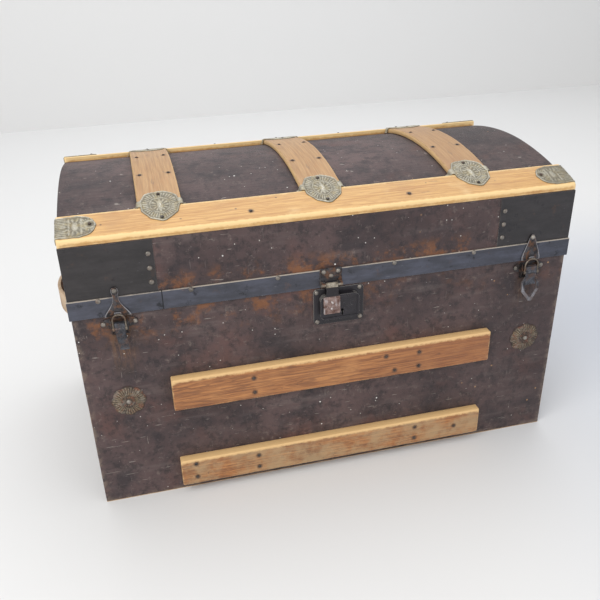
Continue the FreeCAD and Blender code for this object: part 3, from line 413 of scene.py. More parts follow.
def painted_canvas():
    """Dark maroon paint on canvas: mottled, scuffed, rust-stained near the iron band, with painted
    shade towards the right.
    """
    f = Finish("painted_canvas")
    x, y, z = f.along()
    broad = f.noise(5.0, 5, 0.6)
    patch = f.noise(16.0, 5, 0.65, seed=2.0)
    fine = f.noise(110.0, 5, 0.7, seed=4.0)
    smear = f.noise(1.0, 4, 0.6, source=f.stretched(9, 9, 60), seed=6.0)
    colour = f.mix((0.042, 0.025, 0.026), (0.112, 0.070, 0.068), broad.between(0.30, 0.72))
    colour = f.mix(colour, (0.026, 0.020, 0.024), patch.between(0.46, 0.66) * 0.80)
    colour = f.mix(colour, (0.165, 0.130, 0.122), smear.between(0.50, 0.76) * 0.50)
    colour = f.stain(colour, (0.138, 0.052, 0.038), 0.45, (0.52, 0.72), 11.0, 4, 0.6, seed=9.0)
    colour = f.stain(colour, (0.018, 0.013, 0.016), 0.68, (0.48, 0.62), 72.0, 6, 0.78, seed=31.0)
    colour = f.stain(colour, (0.180, 0.140, 0.125), 0.60, (0.55, 0.67), 95.0, 6, 0.80, seed=33.0)

    # Painted shade: darker towards the right end, away from the light on the left.
    colour = f.mix(colour, (0.028, 0.017, 0.016), x.between(0.08, 0.34) * 0.30)

    near_band = 1 - (z - BAND_LOW.z + 0.012).size().between(0.004, 0.045)
    above_band = 1 - (z - BAND_HIGH.z - 0.004).size().between(0.004, 0.030)
    left_half = 1 - x.between(-0.12, 0.16) * 0.7
    rust = f.noise(34.0, 6, 0.7, seed=12.0).between(0.48, 0.64)
    rust = rust * (near_band * left_half + above_band).clamped()
    colour = f.mix(colour, (0.215, 0.085, 0.032), rust * 0.80)
    for side, strength in (("left", 0.75), ("right", 0.35)):
        low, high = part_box(f"{side}_latch_base")
        middle = (low.x + high.x) / 2
        beside = 1 - (x - middle).size().between(0.006, 0.024)
        streak = beside * z.between(0.205, 0.265) * (1 - z.between(LID_LOW.z, LID_LOW.z + 0.002))
        ragged = f.noise(1.0, 5, 0.7, source=f.stretched(160, 160, 34), seed=14.0)
        colour = f.mix(colour, (0.170, 0.085, 0.040), streak * ragged.between(0.40, 0.62) * strength)

    grime = f.noise(55.0, 6, 0.75, seed=15.0).between(0.54, 0.68)
    colour = f.mix(colour, (0.016, 0.012, 0.014), grime * 0.6)
    upright = 1 - (x.size() - HALF_LENGTH).size().between(0.000, 0.010)
    upright = upright * (1 - (y.size() - HALF_DEPTH).size().between(0.000, 0.010))
    edge = (upright + 1 - z.between(0.0, 0.010)).clamped()
    rubbed = edge * f.noise(60.0, 5, 0.7, seed=18.0).between(0.44, 0.58)
    colour = f.mix(colour, (0.250, 0.190, 0.145), rubbed * 0.55)
    scratch_a = f.noise(1.0, 2, 0.5, source=f.stretched(40, 40, 420), seed=21.0)
    scratch_b = f.noise(1.0, 2, 0.5, source=f.stretched(380, 380, 50), seed=23.0)
    worn_end = 1 - x.between(-0.34, -0.20) * 0.75
    cuts = (scratch_a.between(0.70, 0.73) + scratch_b.between(0.70, 0.73) * worn_end).clamped()
    colour = f.mix(colour, (0.340, 0.300, 0.270), cuts * 0.55)
    specks = f.flecks(46.0, 0.22, 0.070)
    colour = f.mix(colour, (0.800, 0.790, 0.760), specks)
    dots = f.flecks(125.0, 0.16, 0.120)
    colour = f.mix(colour, (0.660, 0.640, 0.600), dots * 0.85)
    ochre = f.flecks(82.0, 0.10, 0.150) * x.between(-0.05, 0.30)
    colour = f.mix(colour, (0.420, 0.240, 0.110), ochre * 0.7)
    weave = (x * 5200.0).sine() + (y * 5200.0).sine() + (z * 5200.0).sine()
    height = weave * 0.10 + fine * 1.2 + broad * 1.2 + grime * -0.5 + specks * 0.5 - cuts * 0.6
    gloss = 0.42 + patch * 0.16 + smear * 0.10 + rust * 0.15 + fine * 0.10
    return f.finish(colour, gloss, height, bump=0.65, reach=0.0010)


def wood_grain(f):
    """Values shared by the bare and varnished woods, along the piece's own grain."""
    grain = f.attribute("grain").outputs["Vector"]
    warp = f.stretched(1.6, 30, 30, grain)
    rings = f.noise(3.4, 3, 0.55, source=warp, distortion=1.2)
    lines = f.noise(1.0, 5, 0.65, source=f.stretched(16, 420, 420, grain), seed=3.0)
    pores = f.noise(1.0, 3, 0.7, source=f.stretched(90, 2200, 2200, grain), seed=5.0)
    bands = (rings * 42.0).sine() * 0.5 + 0.5
    return grain, lines, pores, bands


def nail_stains(f, colour, nodes, reach):
    """Darken the wood round the nails, where damp has drawn the iron into it."""
    ragged = f.noise(240.0, 4, 0.7, seed=41.0) * 0.004 - 0.002
    shade = f.number(0.0)
    for name in nodes:
        for spot, out, _ in seats_of(name):
            if out.y < 0.2:
                gap = f.add("ShaderNodeVectorMath", dict(operation="DISTANCE"), f.place, spot)
                near = 1 - (Value(f, gap.outputs["Value"]) + ragged).between(0.0026, reach)
                shade = shade.math("MAXIMUM", near)
    return f.mix(colour, (0.060, 0.030, 0.018), shade * 0.72)


def varnished_oak():
    """Orange-brown varnished slat: strong grain, pale worn edges, a painted highlight along the upper
    side, dark spots at the nails.
    """
    f = Finish("varnished_oak")
    _, lines, pores, bands = wood_grain(f)
    x, _, z = f.along()
    colour = f.mix((0.215, 0.074, 0.022), (0.475, 0.200, 0.062), lines.between(0.32, 0.66))
    colour = f.mix(colour, (0.130, 0.045, 0.017), bands.between(0.55, 1.0) * 0.60)
    colour = f.stain(colour, (0.560, 0.265, 0.092), 0.5, (0.50, 0.75), 13.0, 4, 0.6, seed=7.0)
    colour = f.stain(colour, (0.110, 0.048, 0.024), 0.6, (0.56, 0.74), 9.0, 5, 0.7, seed=17.0)
    low_slat = 1 - z.between(0.075, 0.120)
    colour = f.mix(colour, (0.225, 0.070, 0.020), x.between(0.0, 0.20) * (1 - low_slat) * 0.40)
    weathered = low_slat * f.noise(26.0, 5, 0.65, seed=8.0).between(0.36, 0.62)
    colour = f.mix(colour, (0.430, 0.300, 0.160), weathered * 0.72)
    colour = f.mix(colour, (0.085, 0.050, 0.030), pores.between(0.62, 0.78) * 0.55)
    dirt = f.noise(75.0, 5, 0.7, seed=10.0).between(0.60, 0.72)
    colour = f.mix(colour, (0.050, 0.030, 0.022), dirt * 0.6)
    # Pale where the stored value is high: worn edges, and on the case slats a painted highlight along
    # the upper side and painted shade on the lower edges.
    wear_and_light = f.level("wear_and_light")
    ragged = (wear_and_light + f.noise(120.0, 4, 0.7, seed=13.0) * 0.9 - 0.45).between(0.35, 0.75)
    colour = f.mix(colour, (0.760, 0.500, 0.230), ragged * 0.92)
    colour = nail_stains(f, colour, ("body_slat_nails",), 0.006)
    height = lines * 0.8 + pores * 0.6 - bands * 0.3 + dirt * -0.4
    gloss = 0.34 + lines * 0.14 + ragged * 0.28 + weathered * 0.12
    return f.finish(colour, gloss, height, bump=0.45, coat=0.25, coat_roughness=0.3, reach=0.0008)


def worn_lid_wood(name="worn_lid_wood", amber=0.0):
    """Pale yellow-tan lid slat, its varnish rubbed thin, with dents and dark scuffs."""
    f = Finish(name)
    grain, lines, pores, bands = wood_grain(f)
    light = (0.650 - 0.14 * amber, 0.395 - 0.09 * amber, 0.145 - 0.02 * amber)
    deep = (0.430 - 0.11 * amber, 0.205 - 0.05 * amber, 0.058 - 0.01 * amber)
    colour = f.mix(deep, light, lines.between(0.28, 0.66))
    colour = f.mix(colour, (0.400, 0.190, 0.060), bands.between(0.70, 1.0) * 0.45)
    cloud = f.noise(10.0, 5, 0.6, seed=4.0)
    colour = f.mix(colour, (0.330, 0.170, 0.075), cloud.between(0.50, 0.74) * (0.50 + 0.3 * amber))
    colour = f.stain(colour, (0.760, 0.560, 0.290), 0.6 - 0.4 * amber,
                     (0.54, 0.74), 14.0, 5, 0.6, seed=27.0)
    x = f.along()[0]
    colour = f.mix(colour, (0.300, 0.165, 0.075), x.between(0.10, 0.28) * 0.25 * amber)
    scuff = f.noise(1.0, 5, 0.7, source=f.stretched(30, 120, 120, grain), seed=9.0)
    colour = f.mix(colour, (0.150, 0.095, 0.060), scuff.between(0.60, 0.74) * 0.65)
    spots = f.flecks(70.0, 0.10, 0.13)
    colour = f.mix(colour, (0.080, 0.050, 0.035), spots * 0.7)
    wear_and_light = f.level("wear_and_light")
    ragged = (wear_and_light + f.noise(110.0, 4, 0.7, seed=12.0) * 0.9 - 0.45).between(0.35, 0.80)
    colour = f.mix(colour, (0.840, 0.610, 0.300), ragged * (0.85 - 0.35 * amber))
    colour = nail_stains(f, colour, ("lid_slat_nails",), 0.0055)
    height = lines * 0.8 + pores * 0.5 - bands * 0.3 - scuff * 0.4
    gloss = 0.40 + lines * 0.12 + ragged * 0.22
    return f.finish(colour, gloss, height, bump=0.45, coat=0.15, coat_roughness=0.35, reach=0.0008)


def old_pine(name="old_pine", staves=0):
    """Bare sawn pine inside the case and the lid; staves counts the strips over the dome."""
    f = Finish(name)
    y = f.along()[1]
    lines = f.noise(1.0, 5, 0.65, source=f.stretched(5, 110, 110))
    broad = f.noise(3.0, 4, 0.6, seed=3.0)
    rings = (f.noise(1.0, 3, 0.5, source=f.stretched(0.9, 20, 20), seed=5.0) * 52.0).sine()
    colour = f.mix((0.360, 0.220, 0.110), (0.560, 0.390, 0.215), lines.between(0.30, 0.70))
    colour = f.mix(colour, (0.290, 0.160, 0.075), rings.between(0.35, 1.0) * 0.28)
    colour = f.mix(colour, (0.250, 0.175, 0.110), broad.between(0.50, 0.75) * 0.5)
    height = lines + rings * 0.3
    if staves:
        pitch = 2 * math.asin(HALF_DEPTH / DOME_RADIUS) / staves
        place = (y / DOME_RADIUS).math("ARCSINE") / pitch + staves
        tone = (place.math("FLOOR") * 2.39).sine() * 0.5 + 0.5
        colour = f.mix(colour, (0.255, 0.150, 0.075), tone * 0.42)
        seam = 1 - (place.math("FRACT") - 0.5).size().between(0.470, 0.488)
        colour = f.mix((0.055, 0.034, 0.022), colour, seam)
        height = height + seam * 1.5
    return f.finish(colour, 0.62 + lines * 0.2, height, bump=0.4)


def lining_paper():
    """Aged plain paper with a faint printed stripe and damp stains."""
    f = Finish("lining_paper")
    x, y, _ = f.along()
    stain = f.noise(7.0, 5, 0.65)
    fibre = f.noise(300.0, 3, 0.6, seed=3.0)
    stripe = ((x + y) * 260.0).sine().between(0.75, 0.92)
    colour = f.mix((0.560, 0.470, 0.340), (0.660, 0.580, 0.440), fibre)
    colour = f.mix(colour, (0.330, 0.300, 0.280), stripe * 0.35)
    colour = f.mix(colour, (0.330, 0.210, 0.110), stain.between(0.52, 0.74) * 0.6)
    return f.finish(colour, 0.75 + fibre * 0.15, fibre + stain * 0.5, bump=0.3)


def pressed_tin(name, hollow, raised, rubbed, rust, patches):
    """Tarnished sheet tin: raised work rubbed bright, hollows dark, rust in places.

    Each patch is (colour, seed, strength) for one more stain that comes and goes.
    """
    f = Finish(name)
    relief = f.level("relief")
    cloud = f.noise(60.0, 5, 0.65)
    fine = f.noise(420.0, 4, 0.65, seed=3.0)
    colour = f.mix(hollow, raised, (relief + fine * 0.5 - 0.25).between(0.02, 0.62))
    colour = f.mix(colour, (0.300, 0.215, 0.115), cloud.between(0.50, 0.72) * rust)
    for stain, seed, strength in patches:
        blot = f.noise(130.0, 5, 0.72, seed=seed).between(0.48, 0.62)
        colour = f.mix(colour, stain, blot * strength)
    colour = f.mix(colour, rubbed, (relief + fine * 0.4).between(0.92, 1.20) * 0.85)
    x = f.along()[0]
    colour = f.mix(colour, hollow, x.between(0.27, 0.35) * 0.40)
    gloss = 0.38 + cloud * 0.2 + (1 - relief) * 0.12
    metal = 0.35 + relief * 0.3
    return f.finish(colour, gloss, fine + cloud * 0.5, bump=0.25, metallic=metal, reach=0.0005)


def black_iron(name, tone, rubbed, rust):
    """Black japanned iron, rubbed to blue-grey steel, with rust spots and bright edges that are
    rubbed and partly a painted highlight.
    """
    f = Finish(name)
    patch = f.noise(18.0, 6, 0.7, seed=1.0)
    rub = f.noise(1.0, 5, 0.65, source=f.stretched(25, 25, 110), seed=3.0)
    fine = f.noise(260.0, 4, 0.6, seed=5.0)
    bare = (rub * 0.6 + patch * 0.5).between(0.44, 0.72) * rubbed
    colour = f.mix(tuple(level * 0.42 for level in tone), tone, bare)
    colour = f.stain(colour, (0.010, 0.010, 0.013), 0.8, (0.56, 0.66), 45.0, 6, 0.75, seed=8.0)
    rusty = f.noise(38.0, 6, 0.7, seed=10.0).between(0.58, 0.72) * rust
    colour = f.mix(colour, (0.160, 0.075, 0.036), rusty)
    scratch = f.noise(1.0, 2, 0.5, source=f.stretched(60, 60, 900), seed=12.0).between(0.72, 0.76)
    colour = f.mix(colour, (0.300, 0.300, 0.320), scratch * 0.5)
    # Bright edges: rubbed bare iron, and partly a painted highlight on the rounded edges.
    wear_and_light = f.level("wear_and_light")
    edge = (wear_and_light + fine * 0.6 + patch * 0.5 - 0.55).between(0.30, 0.75)
    colour = f.mix(colour, (0.420, 0.400, 0.370), edge * 0.75)
    gloss = 0.33 + patch * 0.2 + rusty * 0.25
    metal = 0.20 + bare * 0.4 + edge * 0.3
    return f, colour, gloss, patch + fine * 0.5 - rusty, metal


BAND_LAP = -237 * MM


def band_iron():
    """The iron band: blue-black, its top edge rubbed bright and given a painted highlight, with one
    lapped joint.
    """
    f, colour, gloss, height, metal = black_iron("band_iron", (0.098, 0.103, 0.134), 0.9, 0.45)
    x, y, z = f.along()
    wobble = f.noise(9.0, 5, 0.7, seed=20.0)
    # The thin bright top edge is rubbed iron and a painted highlight.
    rubbed_and_lit_top = 1 - (z - BAND_HIGH.z + 0.0002).size().between(0.0004, 0.0013)
    colour = f.mix(colour, (0.500, 0.440, 0.370), rubbed_and_lit_top * wobble.between(0.30, 0.52) * 0.9)
    lap = 1 - (x - BAND_LAP).size().between(0.0004, 0.0009)
    lap = lap * (1 - y.between(-0.16, -0.15))
    colour = f.mix(colour, (0.008, 0.008, 0.010), lap)
    return f.finish(colour, gloss, height - lap * 2.0, bump=0.35, metallic=metal, reach=0.0006)


def corner_iron():
    f, colour, gloss, height, metal = black_iron("corner_iron", (0.050, 0.045, 0.047), 0.8, 0.30)
    return f.finish(colour, gloss + 0.08, height, bump=0.45, metallic=metal * 0.6, reach=0.0007)


def lock_iron():
    f, colour, gloss, height, metal = black_iron("lock_iron", (0.040, 0.036, 0.044), 0.6, 0.15)
    return f.finish(colour, gloss - 0.06, height, bump=0.25, metallic=metal, reach=0.0004)


def worked_steel(name, dark, bright, rust):
    """Handled steel fittings: dark in places, bright where rubbed, some rust, and a painted highlight
    on the edges.
    """
    f = Finish(name)
    cloud = f.noise(85.0, 5, 0.65)
    fine = f.noise(520.0, 4, 0.65, seed=4.0)
    colour = f.mix(dark, bright, (cloud * 0.7 + fine * 0.3).between(0.36, 0.68))
    rusty = f.noise(120.0, 5, 0.7, seed=7.0).between(0.46, 0.64) * rust
    colour = f.mix(colour, (0.150, 0.066, 0.030), rusty)
    # Edges lightened nearly to white: rubbed steel and a painted highlight.
    edge = (f.level("wear_and_light") + fine * 0.5 + cloud * 0.4 - 0.45).between(0.30, 0.75)
    colour = f.mix(colour, tuple(min(0.8, level * 2.4 + 0.08) for level in bright), edge * 0.8)
    gloss = 0.36 + cloud * 0.22 + rusty * 0.25
    metal = 0.75 * (1 - rusty * 0.7)
    return f.finish(colour, gloss, fine + cloud, bump=0.3, metallic=metal, reach=0.0004)


SQUARE_TOP = 298.4 * MM
KNUCKLE_FOOT = 311.5 * MM


def coppered_hasp():
    """The hasp: a bright knuckle, a black strap, and a square with worn copper wash below."""
    f = Finish("coppered_hasp")
    z = f.along()[2]
    cloud = f.noise(110.0, 5, 0.7)
    fine = f.noise(600.0, 4, 0.65, seed=4.0)
    copper = f.mix((0.110, 0.058, 0.046), (0.330, 0.235, 0.210),
                   (cloud + fine * 0.3).between(0.5, 0.8))
    copper = f.mix(copper, (0.560, 0.540, 0.550),
                   f.noise(1.0, 4, 0.7, source=f.stretched(260, 260, 90), seed=6.0)
                   .between(0.52, 0.66) * 0.55)
    colour = f.mix(copper, (0.030, 0.027, 0.030),
                   z.between(SQUARE_TOP - 0.6 * MM, SQUARE_TOP + 0.6 * MM))
    # Bright edges: rubbed metal and a painted highlight.
    edge = (f.level("wear_and_light") + fine * 0.5 + cloud * 0.4 - 0.45).between(0.25, 0.70)
    colour = f.mix(colour, (0.620, 0.590, 0.580), edge * 0.8)
    bare = f.mix((0.150, 0.125, 0.095), (0.430, 0.385, 0.310), cloud.between(0.38, 0.62))
    colour = f.mix(colour, bare, z.between(KNUCKLE_FOOT - 0.3 * MM, KNUCKLE_FOOT + 0.3 * MM))
    gloss = 0.34 + cloud * 0.2
    return f.finish(colour, gloss, fine + cloud, bump=0.3, metallic=0.6, reach=0.0004)


def tan_leather():
    """Dry tan strap leather, darker and cracked at the edges."""
    f = Finish("tan_leather")
    broad = f.noise(30.0, 5, 0.6)
    pebble = f.cells(900.0)[0]
    crack = f.noise(1.0, 4, 0.7, source=f.stretched(200, 60, 200), seed=4.0)
    colour = f.mix((0.300, 0.185, 0.100), (0.520, 0.390, 0.265), broad.between(0.32, 0.68))
    colour = f.mix(colour, (0.130, 0.075, 0.042), crack.between(0.56, 0.70) * 0.6)
    wear_and_light = f.level("wear_and_light")
    colour = f.mix(colour, (0.640, 0.540, 0.420), (wear_and_light * broad).between(0.2, 0.6) * 0.7)
    return f.finish(colour, 0.52 + broad * 0.2, pebble * 0.6 - crack, bump=0.35, reach=0.0006)


# Geometry-node trees --------------------------------------------------------------------

class NodeRecipe(Nodes):
    """A geometry-node tree with named inputs, built in order."""

    def __init__(self, name, inputs):
        self.tree = bpy.data.node_groups.new(name, "GeometryNodeTree")
        faces = self.tree.interface
        faces.new_socket("Geometry", in_out="INPUT", socket_type="NodeSocketGeometry")
        self.names = {}
        for label, kind, value in inputs:
            socket = faces.new_socket(label, in_out="INPUT", socket_type=kind)
            if value is not None:
                socket.default_value = value
            self.names[label] = socket.identifier
        faces.new_socket("Geometry", in_out="OUTPUT", socket_type="NodeSocketGeometry")
        self.given = self.add("NodeGroupInput")

    def number(self, label):
        """One of the tree's own inputs, to reckon with."""
        return Value(self, self.given.outputs[label])

    def read(self, name, kind="FLOAT"):
        """An attribute stored on the geometry."""
        node = self.add("GeometryNodeInputNamedAttribute", dict(data_type=kind), Name=name)
        return Value(self, node.outputs["Attribute"])

    def store(self, geometry, name, value, kind="FLOAT"):
        node = self.add("GeometryNodeStoreNamedAttribute", dict(data_type=kind, domain="POINT"),
                        Geometry=geometry, Name=name, Value=value)
        return node.outputs[0]

    def end(self, geometry, material):
        """Finish with real geometry and its material."""
        real = self.add("GeometryNodeRealizeInstances", Geometry=geometry)
        coated = self.add("GeometryNodeSetMaterial", Geometry=real.outputs[0], Material=material)
        self.add("NodeGroupOutput", {}, coated.outputs[0])

    def make(self, mesh, **values):
        """Run the tree on a mesh and return the plain mesh that it makes."""
        holder = bpy.data.objects.new("holder", mesh)
        bpy.context.scene.collection.objects.link(holder)
        modifier = holder.modifiers.new("Recipe", "NODES")
        modifier.node_group = self.tree
        for label, value in values.items():
            modifier[self.names[label.replace("_", " ")]] = value
        graph = bpy.context.evaluated_depsgraph_get()
        result = bpy.data.meshes.new_from_object(holder.evaluated_get(graph))
        holder.modifiers.clear()
        bpy.data.objects.remove(holder)
        return result


def rivet_recipe(material):
    """A domed head on every point, facing the way the point says."""
    recipe = NodeRecipe("rivets", [("Head radius", "NodeSocketFloat", 3.6 * MM),
                                   ("Dome", "NodeSocketFloat", 0.62),
                                   ("Unevenness", "NodeSocketFloat", 0.10),
                                   ("Seed", "NodeSocketInt", 5)])
    size, dome = recipe.number("Head radius"), recipe.number("Dome")
    flat = recipe.add("ShaderNodeCombineXYZ", X=1.0, Y=1.0, Z=dome)
    ball = recipe.add("GeometryNodeMeshUVSphere", Segments=20, Rings=11, Radius=size)
    head = recipe.add("GeometryNodeTransform", Geometry=ball.outputs["Mesh"],
                      Scale=flat.outputs[0])
    turn = recipe.add("FunctionNodeAlignRotationToVector", dict(axis="Z"),
                      Vector=recipe.read("facing", "FLOAT_VECTOR"))
    spread = recipe.add("FunctionNodeRandomValue", dict(data_type="FLOAT"), None, None,
                        1 - recipe.number("Unevenness"), 1.0, Seed=recipe.number("Seed"))
    scale = Value(recipe, spread.outputs[1]) * recipe.read("head_size")
    placed = recipe.add("GeometryNodeInstanceOnPoints", Points=recipe.given.outputs["Geometry"],
                        Instance=head.outputs[0], Rotation=turn.outputs[0], Scale=scale)
    recipe.end(placed.outputs[0], material)
    return recipe


def seats_of(node):
    """Where each separate head of a CAD fastener node sits, and the way it faces."""
    work = bmesh.new()
    work.from_mesh(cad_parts[node].data)
    bmesh.ops.remove_doubles(work, verts=work.verts, dist=1e-6)
    seats, seen = [], set()
    work.verts.ensure_lookup_table()
    for vertex in work.verts:
        if vertex.index in seen:
            continue
        island, queue = set(), [vertex]
        while queue:
            corner = queue.pop()
            if corner.index not in seen:
                seen.add(corner.index)
                island.add(corner)
                queue += [edge.other_vert(corner) for edge in corner.link_edges]
        faces = {face for corner in island for face in corner.link_faces}
        flats = {}
        for face in faces:
            key = tuple(round(number, 2) for number in face.normal)
            flats.setdefault(key, []).append(face)
        base = max(flats.values(), key=lambda group: sum(face.calc_area() for face in group))
        area = sum(face.calc_area() for face in base)
        centre = sum((face.calc_center_median() * face.calc_area() for face in base),
                     Vector()) / area
        seats.append((centre, -base[0].normal.copy(), math.sqrt(area / math.pi)))
    work.free()
    return sorted(seats, key=lambda seat: tuple(seat[0]))


def rivets(name, recipe, seats, material, body, replaces, size=3.6 * MM):
    """One piece that holds a head on every seat."""
    mesh = bpy.data.meshes.new(name)
    mesh.from_pydata([tuple(seat[0]) for seat in seats], [], [])
    facing = mesh.attributes.new("facing", "FLOAT_VECTOR", "POINT")
    facing.data.foreach_set("vector", [number for seat in seats for number in seat[1]])
    store_numbers(mesh, [seat[2] / size for seat in seats], "head_size")
    made = recipe.make(mesh, Head_radius=size)
    return piece_from_mesh(name, made, material, body, replaces, 60)


# Coverings ------------------------------------------------------------------------------

EDGE_ROUND = 2.2 * MM


def perimeter(half_x, half_y, radius, spacing):
    """Points and outward directions round a rectangle with round corners, from above."""
    ring = []
    sides = (((half_x, -half_y + radius), (half_x, half_y - radius), (1, 0)),
             ((half_x - radius, half_y), (-half_x + radius, half_y), (0, 1)),
             ((-half_x, half_y - radius), (-half_x, -half_y + radius), (-1, 0)),
             ((-half_x + radius, -half_y), (half_x - radius, -half_y), (0, -1)))
    for start, end, out in sides:
        start, end, out = Vector(start), Vector(end), Vector(out)
        count = max(1, round((end - start).length / spacing))
        for index in range(count):
            ring.append((start.lerp(end, index / count), out))
        after = Vector((-out.y, out.x))
        for step in range(4):
            angle = math.radians(90) * step / 4
            way = out * math.cos(angle) + after * math.sin(angle)
            ring.append((end - out * radius + way * radius, way))
    return ring


def make_case_covering(canvas):
    """The canvas round the case: rounded corners, slightly slack, turned under at the hem."""
    ring = perimeter(HALF_LENGTH, HALF_DEPTH, EDGE_ROUND, 9 * MM)
    low, high = CASE_LOW.z, CASE_HIGH.z
    levels = [(low, 1.2 * MM), (low + 0.5 * MM, 0.5 * MM), (low + 1.6 * MM, 0.0)]
    rows = 36
    for index in range(1, rows):
        levels.append((low + (high - low) * index / rows, 0.0))
    levels += [(high - 0.8 * MM, 0.0), (high - 0.2 * MM, 0.2 * MM), (high, 0.6 * MM)]
    rings = []
    for z, inset in levels:
        points = []
        for place, out in ring:
            spot = Vector((place.x, place.y, z))
            slack = wander(spot, 0.055, 0.25 * MM) + wander(spot, 0.018, 0.12 * MM)
            sunk = inset + min(0.45 * MM, max(0.0, 0.18 * MM + slack))
            points.append(spot - Vector((out.x, out.y, 0)) * sunk)
        rings.append(points)
    faces = skin(rings, start_cap=False, end_cap=False)
    mesh = mesh_from([point for row in rings for point in row], faces)
    mesh = applied(facing_outward_side(mesh), ("SOLIDIFY", dict(thickness=0.3 * MM, offset=-1)))
    piece_from_mesh("canvas_on_case", mesh, canvas, CASE_BODY, ("body_covering",))


def facing_outward_side(mesh):
    """Flip an open skin if its faces look inwards."""
    middle = Vector((0, 0, (LID_LOW.z + CASE_LOW.z) / 2))
    with editing(mesh) as work:
        inward = sum(1 for face in work.faces
                     if face.normal.dot(face.calc_center_median() - middle) < 0)
        if inward > len(work.faces) / 2:
            bmesh.ops.reverse_faces(work, faces=work.faces)
    return mesh


def dome_height(y, radius=DOME_RADIUS):
    return DOME_AXIS + math.sqrt(radius ** 2 - y ** 2)


def lid_section(spacing):
    """Points (y, z) and outward directions up the front, over the dome and down the back."""
    eaves = dome_height(HALF_DEPTH)
    section = []
    rise = eaves - LID_LOW.z
    count = round(rise / spacing)
    for index in range(count):
        section.append((Vector((-HALF_DEPTH, LID_LOW.z + rise * index / count)), Vector((-1, 0))))
    half_angle = math.asin(HALF_DEPTH / DOME_RADIUS)
    count = round(2 * half_angle * DOME_RADIUS / spacing)
    for index in range(count + 1):
        angle = -half_angle + 2 * half_angle * index / count
        way = Vector((math.sin(angle), math.cos(angle)))
        section.append((Vector((0, DOME_AXIS)) + way * DOME_RADIUS, way))
    section += [(Vector((-spot.x, spot.y)), Vector((-way.x, way.y)))
                for spot, way in reversed(section[:round(rise / spacing)])]
    return section


def make_lid_covering(canvas):
    """The canvas over the lid: front, dome and back in one sheet, and the two ends."""
    section = lid_section(9 * MM)
    rings = []
    for s, inset in rounded_stations(2 * HALF_LENGTH, EDGE_ROUND, 80, 4):
        x = s - HALF_LENGTH
        points = []
        for spot, way in section:
            place = Vector((x, spot.x, spot.y))
            slack = wander(place, 0.06, 0.25 * MM) + wander(place, 0.02, 0.10 * MM)
            sunk = inset + min(0.45 * MM, max(0.0, 0.15 * MM + slack))
            points.append(place - Vector((0, way.x, way.y)) * sunk)
        rings.append(points)
    faces = skin(rings, closed_ring=False)
    mesh = mesh_from([point for row in rings for point in row], faces)
    mesh = applied(facing_outward_side(mesh), ("SOLIDIFY", dict(thickness=0.3 * MM, offset=-1)))
    piece_from_mesh("canvas_on_lid", mesh, canvas, LID_BODY, ("lid_covering",))


# Slats ----------------------------------------------------------------------------------

def slat_ring(width, thick, radius, across=7):
    """A slat's section: points (a, b) and how worn each is.

    a runs across the slat and b from its back (0) to its face (thick).
    """
    half = width / 2
    ring = []
    for index in range(across + 1):
        ring.append((half - radius * 0.3 - (width - radius * 0.6) * index / across, 0.0, 0.0))
    corners = (((-half + radius, thick - radius), 180), ((half - radius, thick - radius), 90))
    ring.append((-half, radius * 0.5, 0.25))
    ring.append((-half, (thick - radius) * 0.6, 0.35))
    for (a, b), start in corners:
        for step in range(5):
            angle = math.radians(start - 22.5 * step)
            ring.append((a + radius * math.cos(angle), b + radius * math.sin(angle),
                         1.0 if step in (1, 2, 3) else 0.75))
        if start == 180:
            for index in range(1, across):
                a_face = -half + radius + (width - 2 * radius) * index / across
                edge = min(index, across - index) / across
                ring.append((a_face, thick, max(0.0, 0.30 - edge)))
    ring.append((half, (thick - radius) * 0.6, 0.35))
    ring.append((half, radius * 0.5, 0.25))
    return ring


def make_slat(name, node, path, length, width, thick, material, body, radius=2.0 * MM):
    """A wooden slat: its section carried along a path, with rubbed and chipped edges, a painted
    highlight on its upper side and painted shade on its lower edges.

    path(s) gives the middle of the back face at length s, the way across, and the way out.
    """
    ring = slat_ring(width, thick, radius)
    stations = rounded_stations(length, radius, round((length - 2 * radius) / (6 * MM)))
    points, grain, wear_and_light, rings = [], [], [], []
    for s, inset in stations:
        middle, across, out = path(s)
        row = []
        for a, b, wear in ring:
            near_end = max(0.0, 1 - min(s, length - s) / (6 * MM))
            a_in = a * (1 - inset / (width / 2))
            b_in = b if b < thick * 0.3 else b - inset * 0.8
            spot = middle + across * a_in + out * b_in
            chip = max(0.0, noise.noise(spot / 0.014) - 0.10) * wear * 1.05 * MM
            bow = wander(spot, 0.05, 0.12 * MM) - 0.12 * MM
            spot += out * (bow if b > thick * 0.5 else 0.0) - out * chip * 0.7
            spot -= across * math.copysign(chip * 0.5, a)
            points.append(spot)
            row.append(spot)
            grain.append((s, a + b * 0.7, b))
            # Painted highlight: the upper side is stored at full wear so it comes out pale, as if lit
            # from above. The lower edges keep less of their wear, which is painted shade.
            upper = 1.0 if a > width / 2 - radius and b < thick - radius * 0.4 else 0.0
            lower = 0.45 if a < 0 else 1.0
            wear_and_light.append(min(1.0, max(wear * lower, near_end * 0.55, upper)))
        rings.append(row)
    mesh = mesh_from(points, skin(rings), grain, wear_and_light)
    return piece_from_mesh(name, facing_out(mesh), material, body, (node,))


def make_case_slats(oak):
    """The straight slats on the front and the back of the case."""
    for side, out in (("front", Vector((0, -1, 0))), ("back", Vector((0, 1, 0)))):
        for level in ("upper", "lower"):
            node = f"{side}_slat_{level}"
            low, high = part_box(node)
            face = out.y * HALF_DEPTH
            start = Vector((low.x, face, (low.z + high.z) / 2))

            def path(s, start=start, out=out):
                return start + Vector((s, 0, 0)), Vector((0, 0, 1)), out

            make_slat(f"{side}_{level}_oak_slat", node, path, high.x - low.x, high.z - low.z,
                      high.y - low.y, oak, CASE_BODY)


def on_dome(x, angle, radius=DOME_RADIUS):
    """A place on the dome at an angle from the crown, and the way out of it."""
    out = Vector((0, math.sin(angle), math.cos(angle)))
    return Vector((x, 0, DOME_AXIS)) + out * radius, out


